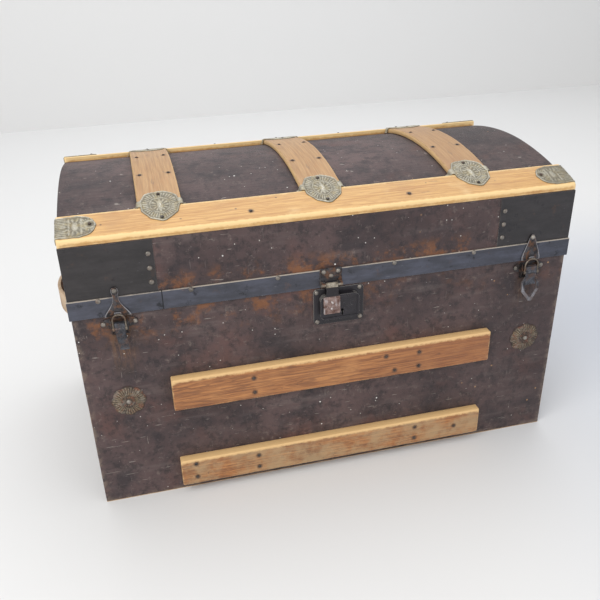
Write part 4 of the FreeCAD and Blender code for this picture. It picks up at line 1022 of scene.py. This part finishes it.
def make_edge_slats(wood):
    """The long slats on the front and back edges of the dome, square-fronted."""
    for side, front in (("front", -1), ("back", 1)):
        node = f"lid_{side}_slat"
        low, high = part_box(node)
        inner = low.y if front > 0 else high.y
        outer = high.y if front > 0 else low.y
        top_radius = DOME_RADIUS + DOME_SLAT_THICK
        round_off = 2.0 * MM
        section = []
        toe = dome_height(HALF_DEPTH) + 0.2 * MM
        section.append((outer - front * 0.8 * MM, toe, 0.4))
        section.append((outer, toe + 0.9 * MM, 0.6))
        brow = dome_height(outer, top_radius)
        section.append((outer, brow - 5.0 * MM, 0.35))
        section.append((outer, brow - round_off, 0.8))
        section.append((outer - front * 0.5 * MM, brow - 0.7 * MM, 1.0))
        section.append((outer - front * 1.8 * MM, dome_height(outer - front * 1.8 * MM, top_radius),
                        0.9))
        for index in range(1, 9):
            y = outer + (inner - outer) * index / 9
            section.append((y, dome_height(y, top_radius), 0.30 if index in (1, 8) else 0.05))
        section.append((inner + front * 1.4 * MM,
                        dome_height(inner + front * 1.4 * MM, top_radius) - 0.2 * MM, 0.8))
        section.append((inner + front * 0.2 * MM, dome_height(inner, top_radius) - 1.2 * MM, 1.0))
        section.append((inner, dome_height(inner) + 1.0 * MM, 0.4))
        for index in range(8):
            y = inner + (HALF_DEPTH * front - inner) * index / 7
            section.append((y, dome_height(y) + 0.1 * MM, 0.0))
        centre_y = sum(point[0] for point in section) / len(section)
        centre_z = sum(point[1] for point in section) / len(section)
        length = high.x - low.x
        points, grain, wear_and_light, rings = [], [], [], []
        for s, inset in rounded_stations(length, 2.5 * MM, 118):
            row = []
            for y, z, wear in section:
                pull = Vector((0, centre_y - y, centre_z - z)).normalized() * inset * 0.7
                if wear == 0.0:
                    pull = Vector()
                spot = Vector((low.x + s, y, z)) + pull
                chip = max(0.0, noise.noise(spot / 0.016) - 0.05) * wear * 0.9 * MM
                inward = Vector((0, centre_y - y, centre_z - z)).normalized()
                spot += inward * chip
                if wear:
                    spot += inward * (0.10 * MM + wander(spot, 0.06, 0.10 * MM))
                points.append(spot)
                row.append(spot)
                near_end = max(0.0, 1 - min(s, length - s) / (8 * MM))
                wear_and_light.append(min(1.0, max(wear, near_end)))
                grain.append((s, y + z * 0.6, z))
            rings.append(row)
        mesh = facing_out(mesh_from(points, skin(rings), grain, wear_and_light))
        piece_from_mesh(f"{side}_edge_slat", mesh, wood, LID_BODY, (node,))


def bent_slat_recipe(material):
    """A bentwood slat: a rounded section swept along an arc, with its grain and wear stored."""
    recipe = NodeRecipe("bent_slat", [("Radius", "NodeSocketFloat", DOME_RADIUS),
                                      ("Half angle", "NodeSocketFloat", 0.25),
                                      ("Width", "NodeSocketFloat", 58 * MM),
                                      ("Thickness", "NodeSocketFloat", 8 * MM),
                                      ("Edge radius", "NodeSocketFloat", 2.2 * MM),
                                      ("Chipping", "NodeSocketFloat", 0.7 * MM),
                                      ("Seed", "NodeSocketFloat", 1.0)])
    width, thick = recipe.number("Width"), recipe.number("Thickness")
    line = recipe.add("GeometryNodeCurvePrimitiveLine", Start=(0, 0, 0), End=(0, 1, 0))
    sampled = recipe.add("GeometryNodeResampleCurve", Curve=line.outputs[0], Count=72)
    factor = Value(recipe, recipe.add("GeometryNodeSplineParameter").outputs["Factor"])
    angle = (factor * 2.0 - 1.0) * recipe.number("Half angle")
    middle = recipe.number("Radius") + thick * 0.5
    bend = recipe.add("ShaderNodeCombineXYZ", Y=angle.sine() * middle,
                      Z=angle.math("COSINE") * middle)
    arc = recipe.add("GeometryNodeSetPosition", Geometry=sampled.outputs[0],
                     Position=bend.outputs[0])
    along = recipe.store(arc.outputs[0], "arc_place", angle * middle)
    outline = recipe.add("GeometryNodeCurvePrimitiveQuadrilateral", Width=width, Height=thick)
    rounded = recipe.add("GeometryNodeFilletCurve", dict(mode="POLY"), Curve=outline.outputs[0],
                         Count=5, Radius=recipe.number("Edge radius"), Limit_Radius=True)
    denser = recipe.add("GeometryNodeResampleCurve", dict(mode="LENGTH"),
                        Curve=rounded.outputs[0], Length=2.6 * MM)
    position = recipe.add("GeometryNodeInputPosition").outputs[0]
    sides = recipe.add("ShaderNodeSeparateXYZ", Vector=position)
    across = recipe.store(denser.outputs[0], "across", sides.outputs[0])
    deep = recipe.store(across, "deep", sides.outputs[1])
    swept = recipe.add("GeometryNodeCurveToMesh", Curve=along, Profile_Curve=deep,
                       Fill_Caps=True)
    wear_and_light = (recipe.read("across").size() / (width * 0.5)) ** 14.0
    scatter = recipe.add("ShaderNodeTexNoise", dict(noise_dimensions="4D"),
                         W=recipe.number("Seed"), Scale=60.0, Detail=3.0)
    ragged = (Value(recipe, scatter.outputs[0]) - 0.52).math("MAXIMUM", 0.0)
    chip = ragged * (wear_and_light * (recipe.number("Chipping") * 6.0))
    spot = recipe.add("ShaderNodeSeparateXYZ", Vector=position)
    push = recipe.add("ShaderNodeCombineXYZ",
                      X=Value(recipe, spot.outputs[0]).math("SIGN") * (chip * -1.0))
    chipped = recipe.add("GeometryNodeSetPosition", Geometry=swept.outputs[0],
                         Offset=push.outputs[0])
    grain = recipe.add("ShaderNodeCombineXYZ", X=recipe.read("arc_place"),
                       Y=recipe.read("across"), Z=recipe.read("deep"))
    grained = recipe.store(chipped.outputs[0], "grain", grain.outputs[0], "FLOAT_VECTOR")
    recipe.end(recipe.store(grained, "wear_and_light", wear_and_light), material)
    return recipe


def make_cross_slats(wood):
    """The three bentwood slats over the dome."""
    recipe = bent_slat_recipe(wood)
    for number, side in enumerate(("left", "middle", "right")):
        node = f"cross_slat_{side}"
        low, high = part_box(node)
        half_angle = math.asin(high.y / (DOME_RADIUS + DOME_SLAT_THICK))
        blank = bpy.data.meshes.new("blank")
        blank.from_pydata([(0, 0, 0)], [], [])
        made = recipe.make(blank, Half_angle=half_angle, Width=high.x - low.x,
                           Thickness=DOME_SLAT_THICK - 0.3 * MM, Radius=DOME_RADIUS + 0.2 * MM,
                           Seed=1.0 + number)
        made.transform(Matrix.Translation(((low.x + high.x) / 2, 0, DOME_AXIS)))
        piece_from_mesh(f"{side}_bent_slat", facing_out(made), wood, LID_BODY, (node,))


# Pressed tin ----------------------------------------------------------------------------

def bump(value, centre, width):
    return math.exp(-((value - centre) / width) ** 2)


def step_up(value, low, high):
    share = min(1.0, max(0.0, (value - low) / (high - low)))
    return share * share * (3 - 2 * share)


def window(value, low, high, soft):
    return step_up(value, low, low + soft) * (1 - step_up(value, high - soft, high))


def edge_reach(outline, centre, spokes=144, softness=2):
    """How far an outline lies from a centre point along each of many directions."""
    reach = []
    for spoke in range(spokes):
        angle = 2 * math.pi * spoke / spokes
        way = Vector((math.cos(angle), math.sin(angle)))
        best = 0.0
        for start, end in zip(outline, outline[1:] + outline[:1]):
            first = Vector(start) - centre
            side = Vector(end) - Vector(start)
            turn = way.cross(side)
            if abs(turn) > 1e-12:
                along, share = first.cross(side) / turn, first.cross(way) / turn
                if along > 0 and -1e-9 <= share <= 1 + 1e-9:
                    best = max(best, along)
        reach.append(best)
    for _ in range(softness):
        reach = [(reach[spoke - 1] + 2 * reach[spoke] + reach[(spoke + 1) % spokes]) / 4
                 for spoke in range(spokes)]
    return reach


def relief_plate(reach, centre, height, place, rings=26):
    """A pressed plate, as rings of points from its centre to its rim.

    height(a, b, share) gives how far a point stands out and how rubbed it is, and
    place(a, b, out) puts it on the trunk.
    """
    spokes = len(reach)
    points, relief = [], []
    for ring in range(rings + 2):
        share = min(1.0, ring / rings)
        for spoke in range(spokes if ring else 1):
            angle = 2 * math.pi * spoke / spokes
            a = centre.x + math.cos(angle) * reach[spoke] * share
            b = centre.y + math.sin(angle) * reach[spoke] * share
            out, shine = height(a, b, share) if ring <= rings else (0.05 * MM, 0.1)
            points.append(place(a, b, out))
            relief.append(shine)
    points.append(place(centre.x, centre.y, 0.05 * MM))
    relief.append(0.0)
    last = len(points) - 1
    faces = []
    for spoke in range(spokes):
        after = (spoke + 1) % spokes
        faces.append((0, 1 + spoke, 1 + after))
        for ring in range(rings):
            low, high = 1 + ring * spokes, 1 + (ring + 1) * spokes
            faces.append((low + spoke, high + spoke, high + after, low + after))
        under = 1 + rings * spokes
        faces.append((last, under + after, under + spoke))
    return facing_out(mesh_from(points, faces, relief=relief))


def joined(meshes):
    """Several meshes as one, with their attributes."""
    work = bmesh.new()
    for mesh in meshes:
        work.from_mesh(mesh)
    result = bpy.data.meshes.new("joined")
    work.to_mesh(result)
    work.free()
    return result


SHIELD = [(-9, 34), (9, 34), (20, 28), (26, 15), (27, 0), (24, -14), (15, -26), (0, -35),
          (-15, -26), (-24, -14), (-27, 0), (-26, 15), (-20, 28)]
LOBE = [(-12, 6), (-1, 4), (28, 3), (39, 6), (47, 13), (50, 24), (47, 35), (39, 42), (28, 45),
        (-1, 44), (-12, 42)]
CLAMP_NAIL = 26 * MM
SLAT_TOP = DOME_RADIUS + DOME_SLAT_THICK


def clamp_relief(a, b, share):
    """The slat clamps' pattern: a rolled rim, a ring of ribs, petals and a long boss."""
    angle = math.atan2(b, a * 1.25)
    ribs = (0.5 + 0.5 * math.cos(36 * angle)) * window(share, 0.54, 0.90, 0.08)
    petals = (0.5 + 0.5 * math.cos(12 * angle)) * window(share, 0.16, 0.46, 0.08) * 0.7
    boss = max(0.0, 1 - (a / (4.2 * MM)) ** 2 - (b / (12.5 * MM)) ** 2) ** 0.5
    grain = 0.25 * noise.noise(Vector((a, b, 0.0)) / (1.8 * MM))
    level = max(bump(share, 0.955, 0.035), 0.85 * ribs, 0.70 * bump(share, 0.50, 0.035),
                0.85 * boss, petals) + grain
    for nail in (-CLAMP_NAIL, CLAMP_NAIL):
        level *= step_up(math.hypot(a, b - nail), 3.0 * MM, 4.5 * MM) * 0.75 + 0.25
    return (0.45 + 1.25 * level) * MM, level


def corner_relief(a, b, share):
    """The corner clamps' pattern: ribs over the edge, bars, a leafed oval, a ringed nail."""
    ribs = (0.5 + 0.5 * math.cos(2 * math.pi * b / (3.3 * MM))) * (1 - step_up(a, 11 * MM, 14 * MM))
    bars = max(bump(a, 16 * MM, 1.3 * MM), bump(a, 31 * MM, 1.3 * MM))
    bars *= window(b, 7 * MM, 41 * MM, 3 * MM)
    oval = max(0.0, 1 - ((a - 23.5 * MM) / (4.5 * MM)) ** 2 - ((b - 24 * MM) / (9 * MM)) ** 2)
    from_nail = math.hypot(a - 41.5 * MM, b - 26 * MM)
    ring = bump(from_nail, 6.5 * MM, 1.2 * MM)
    leaf = (0.5 + 0.5 * math.cos(14 * math.atan2(b - 24 * MM, a - 23.5 * MM)))
    leaf *= bump(math.hypot(a - 23.5 * MM, b - 24 * MM), 12 * MM, 5 * MM) * 0.55
    rays = (0.5 + 0.5 * math.cos(22 * math.atan2(b - 26 * MM, a - 41.5 * MM)))
    rays *= bump(from_nail, 10.5 * MM, 2.5 * MM) * 0.6
    grain = 0.22 * noise.noise(Vector((a, b, 1.0)) / (1.8 * MM))
    level = max(bump(share, 0.955, 0.03), 0.8 * ribs, 0.75 * bars, 0.8 * oval ** 0.5, 0.8 * ring,
                leaf, rays) + grain
    level *= step_up(from_nail, 3.0 * MM, 4.5 * MM) * 0.8 + 0.2
    return (0.45 + 1.15 * level) * MM, level


def rosette_relief(a, b, share):
    """The rosettes' pattern: uneven ribs over eight faint petals, round a beaded middle."""
    angle = math.atan2(b, a)
    petal = abs(math.cos(4 * angle)) ** 0.6 * window(share, 0.36, 1.0, 0.10)
    bend = 0.5 * noise.noise(Vector((a, b, 5.0)) / (7 * MM))
    ribs = (0.5 + 0.5 * math.cos(34 * angle + 3 * bend)) * window(share, 0.40, 0.97, 0.08)
    beads = (0.5 + 0.5 * math.cos(14 * angle)) * bump(share, 0.30, 0.05)
    dish = 0.5 + 2.2 * (1 - share * share)
    grain = 0.35 * noise.noise(Vector((a, b, 2.0)) / (2.2 * MM))
    level = 0.10 * petal + 0.75 * ribs + 0.45 * beads + 0.35 * (share < 0.16) + grain
    level = min(1.0, max(0.0, level))
    return (dish + 1.0 * level) * MM, level


def ribbon(spine, across, halves, thick):
    """A bent strip of sheet metal along a spine, with a half width at each of its points."""
    rows = []
    for spot, half in zip(spine, halves):
        rows.append([spot + across * half * (column / 3 - 1) for column in range(7)])
    mesh = mesh_from([point for row in rows for point in row],
                     skin(rows, closed_ring=False, start_cap=False, end_cap=False),
                     wear_and_light=[0.55] * (7 * len(rows)), relief=[0.7] * (7 * len(rows)))
    return facing_out(applied(mesh, ("SOLIDIFY", dict(thickness=thick, offset=0)),
                              ("SUBSURF", dict(levels=1, render_levels=1))))


def wing(x, y, hand):
    """The ear of a slat clamp, folded down the side of the cross slat and curled out."""
    path = [(23.0, 8.9), (27.5, 9.2), (30.0, 8.2), (30.5, 4.5), (31.0, 1.6), (33.0, 1.0), (34.4, 2.0)]
    halves = [half * MM for half in (7.0, 6.8, 6.0, 5.0, 4.6, 4.4, 3.4)]
    spine = []
    for aside, out in path:
        spot, way = on_dome(x + hand * aside * MM, math.asin(y / DOME_RADIUS))
        spine.append(spot + way * out * MM)
    return ribbon(spine, Vector((0, way.z, -way.y)), halves, 0.8 * MM)


def make_tin_clamps(tin):
    """Six slat clamps and four corner clamps, all pressed from sheet tin."""
    outline = [(a * MM, b * MM) for a, b in SHIELD]
    reach = edge_reach(outline, Vector((0, 0)), softness=8)
    reach = [length * (1.0 - 0.045 * abs(math.sin(9 * math.pi * index / len(reach))))
             for index, length in enumerate(reach)]
    for side, front in (("front", -1), ("back", 1)):
        joint = front * (HALF_DEPTH - 50 * MM)
        plates = []
        for cross in ("left", "middle", "right"):
            slat_low, slat_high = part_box(f"cross_slat_{cross}")
            x = (slat_low.x + slat_high.x) / 2

            def on_slats(a, b, out, x=x, joint=joint, front=front):
                angle = math.asin((joint - front * b) / SLAT_TOP)
                return on_dome(x + a, angle, SLAT_TOP + out)[0]

            plates.append(relief_plate(reach, Vector((0, 0)), clamp_relief, on_slats))
            for hand in (-1, 1):
                plates.append(wing(x, joint - front * 8 * MM, hand))
        piece_from_mesh(f"{side}_tin_shields", joined(plates), tin, LID_BODY,
                        (f"{side}_slat_clamps",))

    centre = Vector((21 * MM, 24 * MM))
    reach = edge_reach([(a * MM, b * MM) for a, b in LOBE], centre, softness=5)
    reach = [length * (1.0 - 0.030 * abs(math.sin(10 * math.pi * index / len(reach))))
             for index, length in enumerate(reach)]
    plates = []
    for side in (-1, 1):
        for front in (-1, 1):

            def over_corner(a, b, out, side=side, front=front):
                y = front * (HALF_DEPTH - b)
                spot, way = on_dome(side * (HALF_LENGTH - max(a, 0)), math.asin(y / SLAT_TOP),
                                    SLAT_TOP)
                if a >= 0:
                    return spot + way * out
                return spot + Vector((side * (out + 0.1 * MM), 0, a))

            plates.append(relief_plate(reach, centre, corner_relief, over_corner))
    piece_from_mesh("corner_tin_tongues", joined(plates), tin, LID_BODY, ("corner_clamps",))


def make_rosettes(metal):
    """The two flower-shaped rosettes on the front."""
    for side in ("left", "right"):
        low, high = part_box(f"{side}_rosette")
        radius = (high.x - low.x) / 2
        x, z = (low.x + high.x) / 2, (low.z + high.z) / 2
        reach = [radius * (0.90 + 0.10 * abs(math.cos(4 * 2 * math.pi * spoke / 144)) ** 0.7)
                 for spoke in range(144)]

        def on_face(a, b, out, x=x, z=z):
            return Vector((x + a, -HALF_DEPTH - out, z + b))

        plate = relief_plate(reach, Vector((0, 0)), rosette_relief, on_face)
        piece_from_mesh(f"{side}_flower", plate, metal, CASE_BODY, (f"{side}_rosette",))


# Latch catches and lock details ---------------------------------------------------------

def flared_plate(x, levels):
    """A sheet pressed to a bell: levels give height, half width and how far out it stands.

    The two distances out are at the middle and at the edges; all are in millimetres.
    """
    rows = []
    for index in range(len(levels) - 1):
        for step in range(4):
            share = step_up(step / 4, 0, 1) if index else step / 4
            low, high = levels[index], levels[index + 1]
            rows.append([a + (b - a) * (0.5 * share + 0.5 * step / 4) for a, b in zip(low, high)])
    rows.append(list(levels[-1]))
    points = []
    for z, half, middle, edge in rows:
        row = []
        for column in range(15):
            share = column / 7 - 1
            out = middle + (edge - middle) * abs(share) ** 2.4
            row.append(Vector((x + half * share * MM, -HALF_DEPTH - out * MM, z * MM)))
        points.append(row)
    wear_and_light = [min(1.0, 0.9 * abs(column / 7 - 1) ** 6 + (0.5 if row in (0, len(rows) - 1) else 0.0))
            for row in range(len(rows)) for column in range(15)]
    mesh = mesh_from([point for row in points for point in row],
                     skin(points, closed_ring=False, start_cap=False, end_cap=False), wear_and_light=wear_and_light)
    return facing_out(applied(mesh, ("SOLIDIFY", dict(thickness=0.9 * MM, offset=0))))


def make_catches(steel):
    """The catches on the lid: a bell-shaped one on the left, a triangular one on the right."""
    bell = [(349.6, 2.2, 2.9, 2.6), (348.0, 4.0, 3.0, 2.5), (344.0, 4.6, 3.2, 2.5),
            (338.0, 3.3, 3.4, 2.7), (333.0, 3.5, 3.8, 2.9), (328.0, 5.0, 4.4, 3.0),
            (322.0, 8.8, 5.0, 3.2), (316.5, 13.2, 5.2, 3.8), (312.5, 16.4, 4.8, 5.4),
            (310.6, 16.6, 4.2, 6.2)]
    peak = [(349.6, 1.4, 2.9, 2.7), (345.0, 4.0, 3.1, 2.6), (338.0, 6.4, 3.4, 2.7),
            (330.0, 9.4, 3.8, 2.8), (322.0, 12.4, 4.2, 3.0), (315.0, 14.4, 4.2, 3.4),
            (310.6, 14.4, 3.6, 3.8)]
    for side, levels in (("left", bell), ("right", peak)):
        low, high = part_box(f"{side}_latch_catch")
        x = (low.x + high.x) / 2
        hook = [Vector((x, -HALF_DEPTH - out * MM, z * MM)) for out, z in
                ((3.4, 310.9), (5.4, 310.6), (6.8, 311.0), (7.1, 312.6), (6.9, 316.6))]
        lip = ribbon(hook, Vector((1, 0, 0)), [4.8 * MM] * 5, 0.9 * MM)
        piece_from_mesh(f"{side}_bell_catch", joined([flared_plate(x, levels), lip]), steel,
                        LID_BODY, (f"{side}_latch_catch",))


def scroll_relief(a, b, share):
    """Faint pressed scrolls on the face of the lock."""
    curl_a = math.hypot(a - 4.5 * MM, b - 3.0 * MM)
    curl_b = math.hypot(a + 4.0 * MM, b + 3.5 * MM)
    lines = 0.5 + 0.5 * math.cos(curl_a * 2600 + math.atan2(b - 3.0 * MM, a - 4.5 * MM))
    other = 0.5 + 0.5 * math.cos(curl_b * 2600 - math.atan2(b + 3.5 * MM, a + 4.0 * MM))
    level = max(lines * bump(curl_a, 3.5 * MM, 3.5 * MM), other * bump(curl_b, 3.5 * MM, 3.5 * MM))
    level = max(level, 0.8 * bump(share, 0.93, 0.05))
    return (0.10 + 0.50 * level) * MM, level * 0.8


def make_lock_details(iron, copper):
    """Pressed scrolls on the lock, and the slot and stud on the hasp's square."""
    low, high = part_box("lock_case")
    x, z = (low.x + high.x) / 2 + 14 * MM, (low.z + high.z) / 2
    face = low.y + 1.0 * MM
    outline = [(-9 * MM, -10 * MM), (9 * MM, -10 * MM), (9 * MM, 10 * MM), (-9 * MM, 10 * MM)]
    reach = edge_reach(outline, Vector((0, 0)), 96)
    plate = relief_plate(reach, Vector((0, 0)), scroll_relief,
                         lambda a, b, out: Vector((x + a, face - out, z + b)), 22)
    store_numbers(plate, [item.value * 0.45 for item in plate.attributes["relief"].data])
    piece_from_mesh("lock_scrolls", plate, iron, CASE_BODY, ())

    low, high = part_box("hasp")
    middle, face = (low.x + high.x) / 2, low.y
    studs = []
    for centre, long_way, wide in (((0.5, 289.0), Vector((0.6, -0.8)), 2.6),
                                   ((-0.5, 279.5), Vector((1.0, 0.0)), 1.5)):
        side_way = Vector((-long_way.y, long_way.x))

        def stand(a, b, out, centre=centre, long_way=long_way, side_way=side_way):
            flat = long_way * a + side_way * b
            return Vector((middle + centre[0] * MM + flat.x, face - out, centre[1] * MM + flat.y))

        round_reach = [wide * 1.3 * MM / math.hypot(1.3 * math.cos(2 * math.pi * k / 24),
                                                    wide * math.sin(2 * math.pi * k / 24))
                       for k in range(24)]
        studs.append(relief_plate(round_reach, Vector((0, 0)),
                                  lambda a, b, share: (0.7 * MM * (1 - share ** 3) + 0.02 * MM, 1.0),
                                  stand, 6))
    piece = joined(studs)
    store_numbers(piece, [0.9] * len(piece.vertices))
    piece_from_mesh("hasp_stud_and_slot", piece, copper, HASP_BODY, ())


# Everything, in order -------------------------------------------------------------------

set_stage()
canvas = painted_canvas()
oak = varnished_oak()
lid_wood = worn_lid_wood()
cross_wood = worn_lid_wood("worn_cross_wood", amber=1.3)
pine = old_pine()
stave_pine = old_pine("stave_pine", 8)
paper = lining_paper()
tin = pressed_tin("pressed_tin", (0.175, 0.158, 0.118), (0.405, 0.380, 0.310),
                  (0.640, 0.620, 0.560), 0.45,
                  (((0.360, 0.285, 0.130), 15.0, 0.50), ((0.095, 0.085, 0.062), 18.0, 0.45)))
rosette_tin = pressed_tin("rosette_tin", (0.040, 0.028, 0.023), (0.190, 0.148, 0.100),
                          (0.440, 0.390, 0.310), 0.65,
                          (((0.185, 0.075, 0.045), 11.0, 0.85), ((0.330, 0.310, 0.270), 13.0, 0.35),
                           ((0.060, 0.042, 0.034), 17.0, 0.60)))
band_metal = band_iron()
corner_metal = corner_iron()
lock_metal = lock_iron()
latch_steel = worked_steel("latch_steel", (0.022, 0.020, 0.021), (0.100, 0.098, 0.105), 0.85)
lever_steel = worked_steel("lever_steel", (0.035, 0.036, 0.042), (0.135, 0.140, 0.160), 0.45)
ring_steel = worked_steel("ring_steel", (0.150, 0.140, 0.145), (0.330, 0.325, 0.345), 0.25)
# The link's steel is lighter than the latch's: rubbed steel, and partly a painted highlight on its
# arch.
link_steel = worked_steel("link_steel", (0.090, 0.072, 0.056), (0.260, 0.225, 0.185), 0.55)
pin_steel = worked_steel("pin_steel", (0.150, 0.130, 0.105), (0.440, 0.395, 0.330), 0.40)
copper = coppered_hasp()
rivet_steel = worked_steel("rivet_steel", (0.110, 0.100, 0.090), (0.400, 0.370, 0.330), 0.35)
nail_steel = worked_steel("nail_steel", (0.030, 0.027, 0.027), (0.120, 0.110, 0.105), 0.5)
leather = tan_leather()

make_case_covering(canvas)
make_lid_covering(canvas)
make_case_slats(oak)
make_edge_slats(lid_wood)
make_cross_slats(cross_wood)

heads = rivet_recipe(rivet_steel)
for name, node, metal, body in (
        ("case_rivets", "body_rivets", rivet_steel, CASE_BODY),
        ("lid_rivet_heads", "lid_rivets", rivet_steel, LID_BODY),
        ("band_nail_heads", "band_nails", rivet_steel, LID_BODY),
        ("case_slat_nail_heads", "body_slat_nails", nail_steel, CASE_BODY),
        ("lid_slat_nail_heads", "lid_slat_nails", nail_steel, LID_BODY)):
    rivets(name, heads, seats_of(node), metal, body, (node,))

CAD_FINISHES = {
    pine: ("bottom_board", "front_board", "back_board", "left_end_board", "right_end_board",
           "tray_cleats", "lid_front_board", "lid_back_board", "lid_left_end", "lid_right_end"),
    stave_pine: ("lid_staves",),
    paper: ("body_lining",),
    latch_steel: ("latch_lever_pins", "hinge_pins", "lock_bolt", "hasp_staple"),
    pin_steel: ("hasp_pin",),
}
for finish, nodes in CAD_FINISHES.items():
    for node in nodes:
        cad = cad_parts[node]
        cad.data.materials.clear()
        cad.data.materials.append(finish)

for node, width, metal, body, slot, segments, shine in (
        ("lid_band", 0.35, band_metal, LID_BODY, "black_iron", 2, 2.4),
        ("lid_corner_plates", 0.20, corner_metal, LID_BODY, "black_iron", 2, 2.4),
        ("lock_case", 1.1, lock_metal, CASE_BODY, "black_iron", 3, 6.0),
        ("lock_plate", 0.5, lock_metal, CASE_BODY, "black_iron", 2, 4.5),
        ("left_hinge_lower_leaf", 0.5, lock_metal, CASE_BODY, "black_iron", 2, 4.5),
        ("right_hinge_lower_leaf", 0.5, lock_metal, CASE_BODY, "black_iron", 2, 4.5),
        ("left_hinge_upper_leaf", 0.4, lock_metal, LID_BODY, "black_iron", 2, 2.4),
        ("right_hinge_upper_leaf", 0.4, lock_metal, LID_BODY, "black_iron", 2, 2.4)):
    softened_copy(node, width * MM, metal, body, segments, shine)
levers = {}
for side in ("left", "right"):
    softened_copy(f"{side}_latch_base", 0.35 * MM, latch_steel, CASE_BODY)
    levers[side] = softened_copy(f"{side}_latch_lever", 0.35 * MM, lever_steel, f"{side}_lever")
    softened_copy(f"{side}_latch_link", 0.3 * MM, link_steel, f"{side}_link")
    softened_copy(f"{side}_handle_caps", 0.8 * MM, latch_steel, CASE_BODY)
    softened_copy(f"{side}_handle", 1.2 * MM, leather, CASE_BODY, 3)
softened_copy("hasp", 0.45 * MM, copper, HASP_BODY)
bracket = softened_copy("hasp_bracket", 0.35 * MM, latch_steel, LID_BODY)

lever_low, lever_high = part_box("right_latch_lever")
ring_centre = (lever_low.x + lever_high.x) / 2 - 1.3 * MM
ring_top = lever_high.z - 17 * MM
ring_foot = lever_high.z - 29.5 * MM
second_metal(levers["right"], ring_steel, lambda spot: spot.z < ring_top and (
    abs(spot.x - ring_centre) > 8.4 * MM or spot.z < ring_foot))
bracket_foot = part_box("hasp_bracket")[0].z + 4.5 * MM
second_metal(bracket, pin_steel, lambda spot: spot.z < bracket_foot)
make_tin_clamps(tin)
make_rosettes(rosette_tin)
make_catches(latch_steel)
make_lock_details(lock_metal, copper)
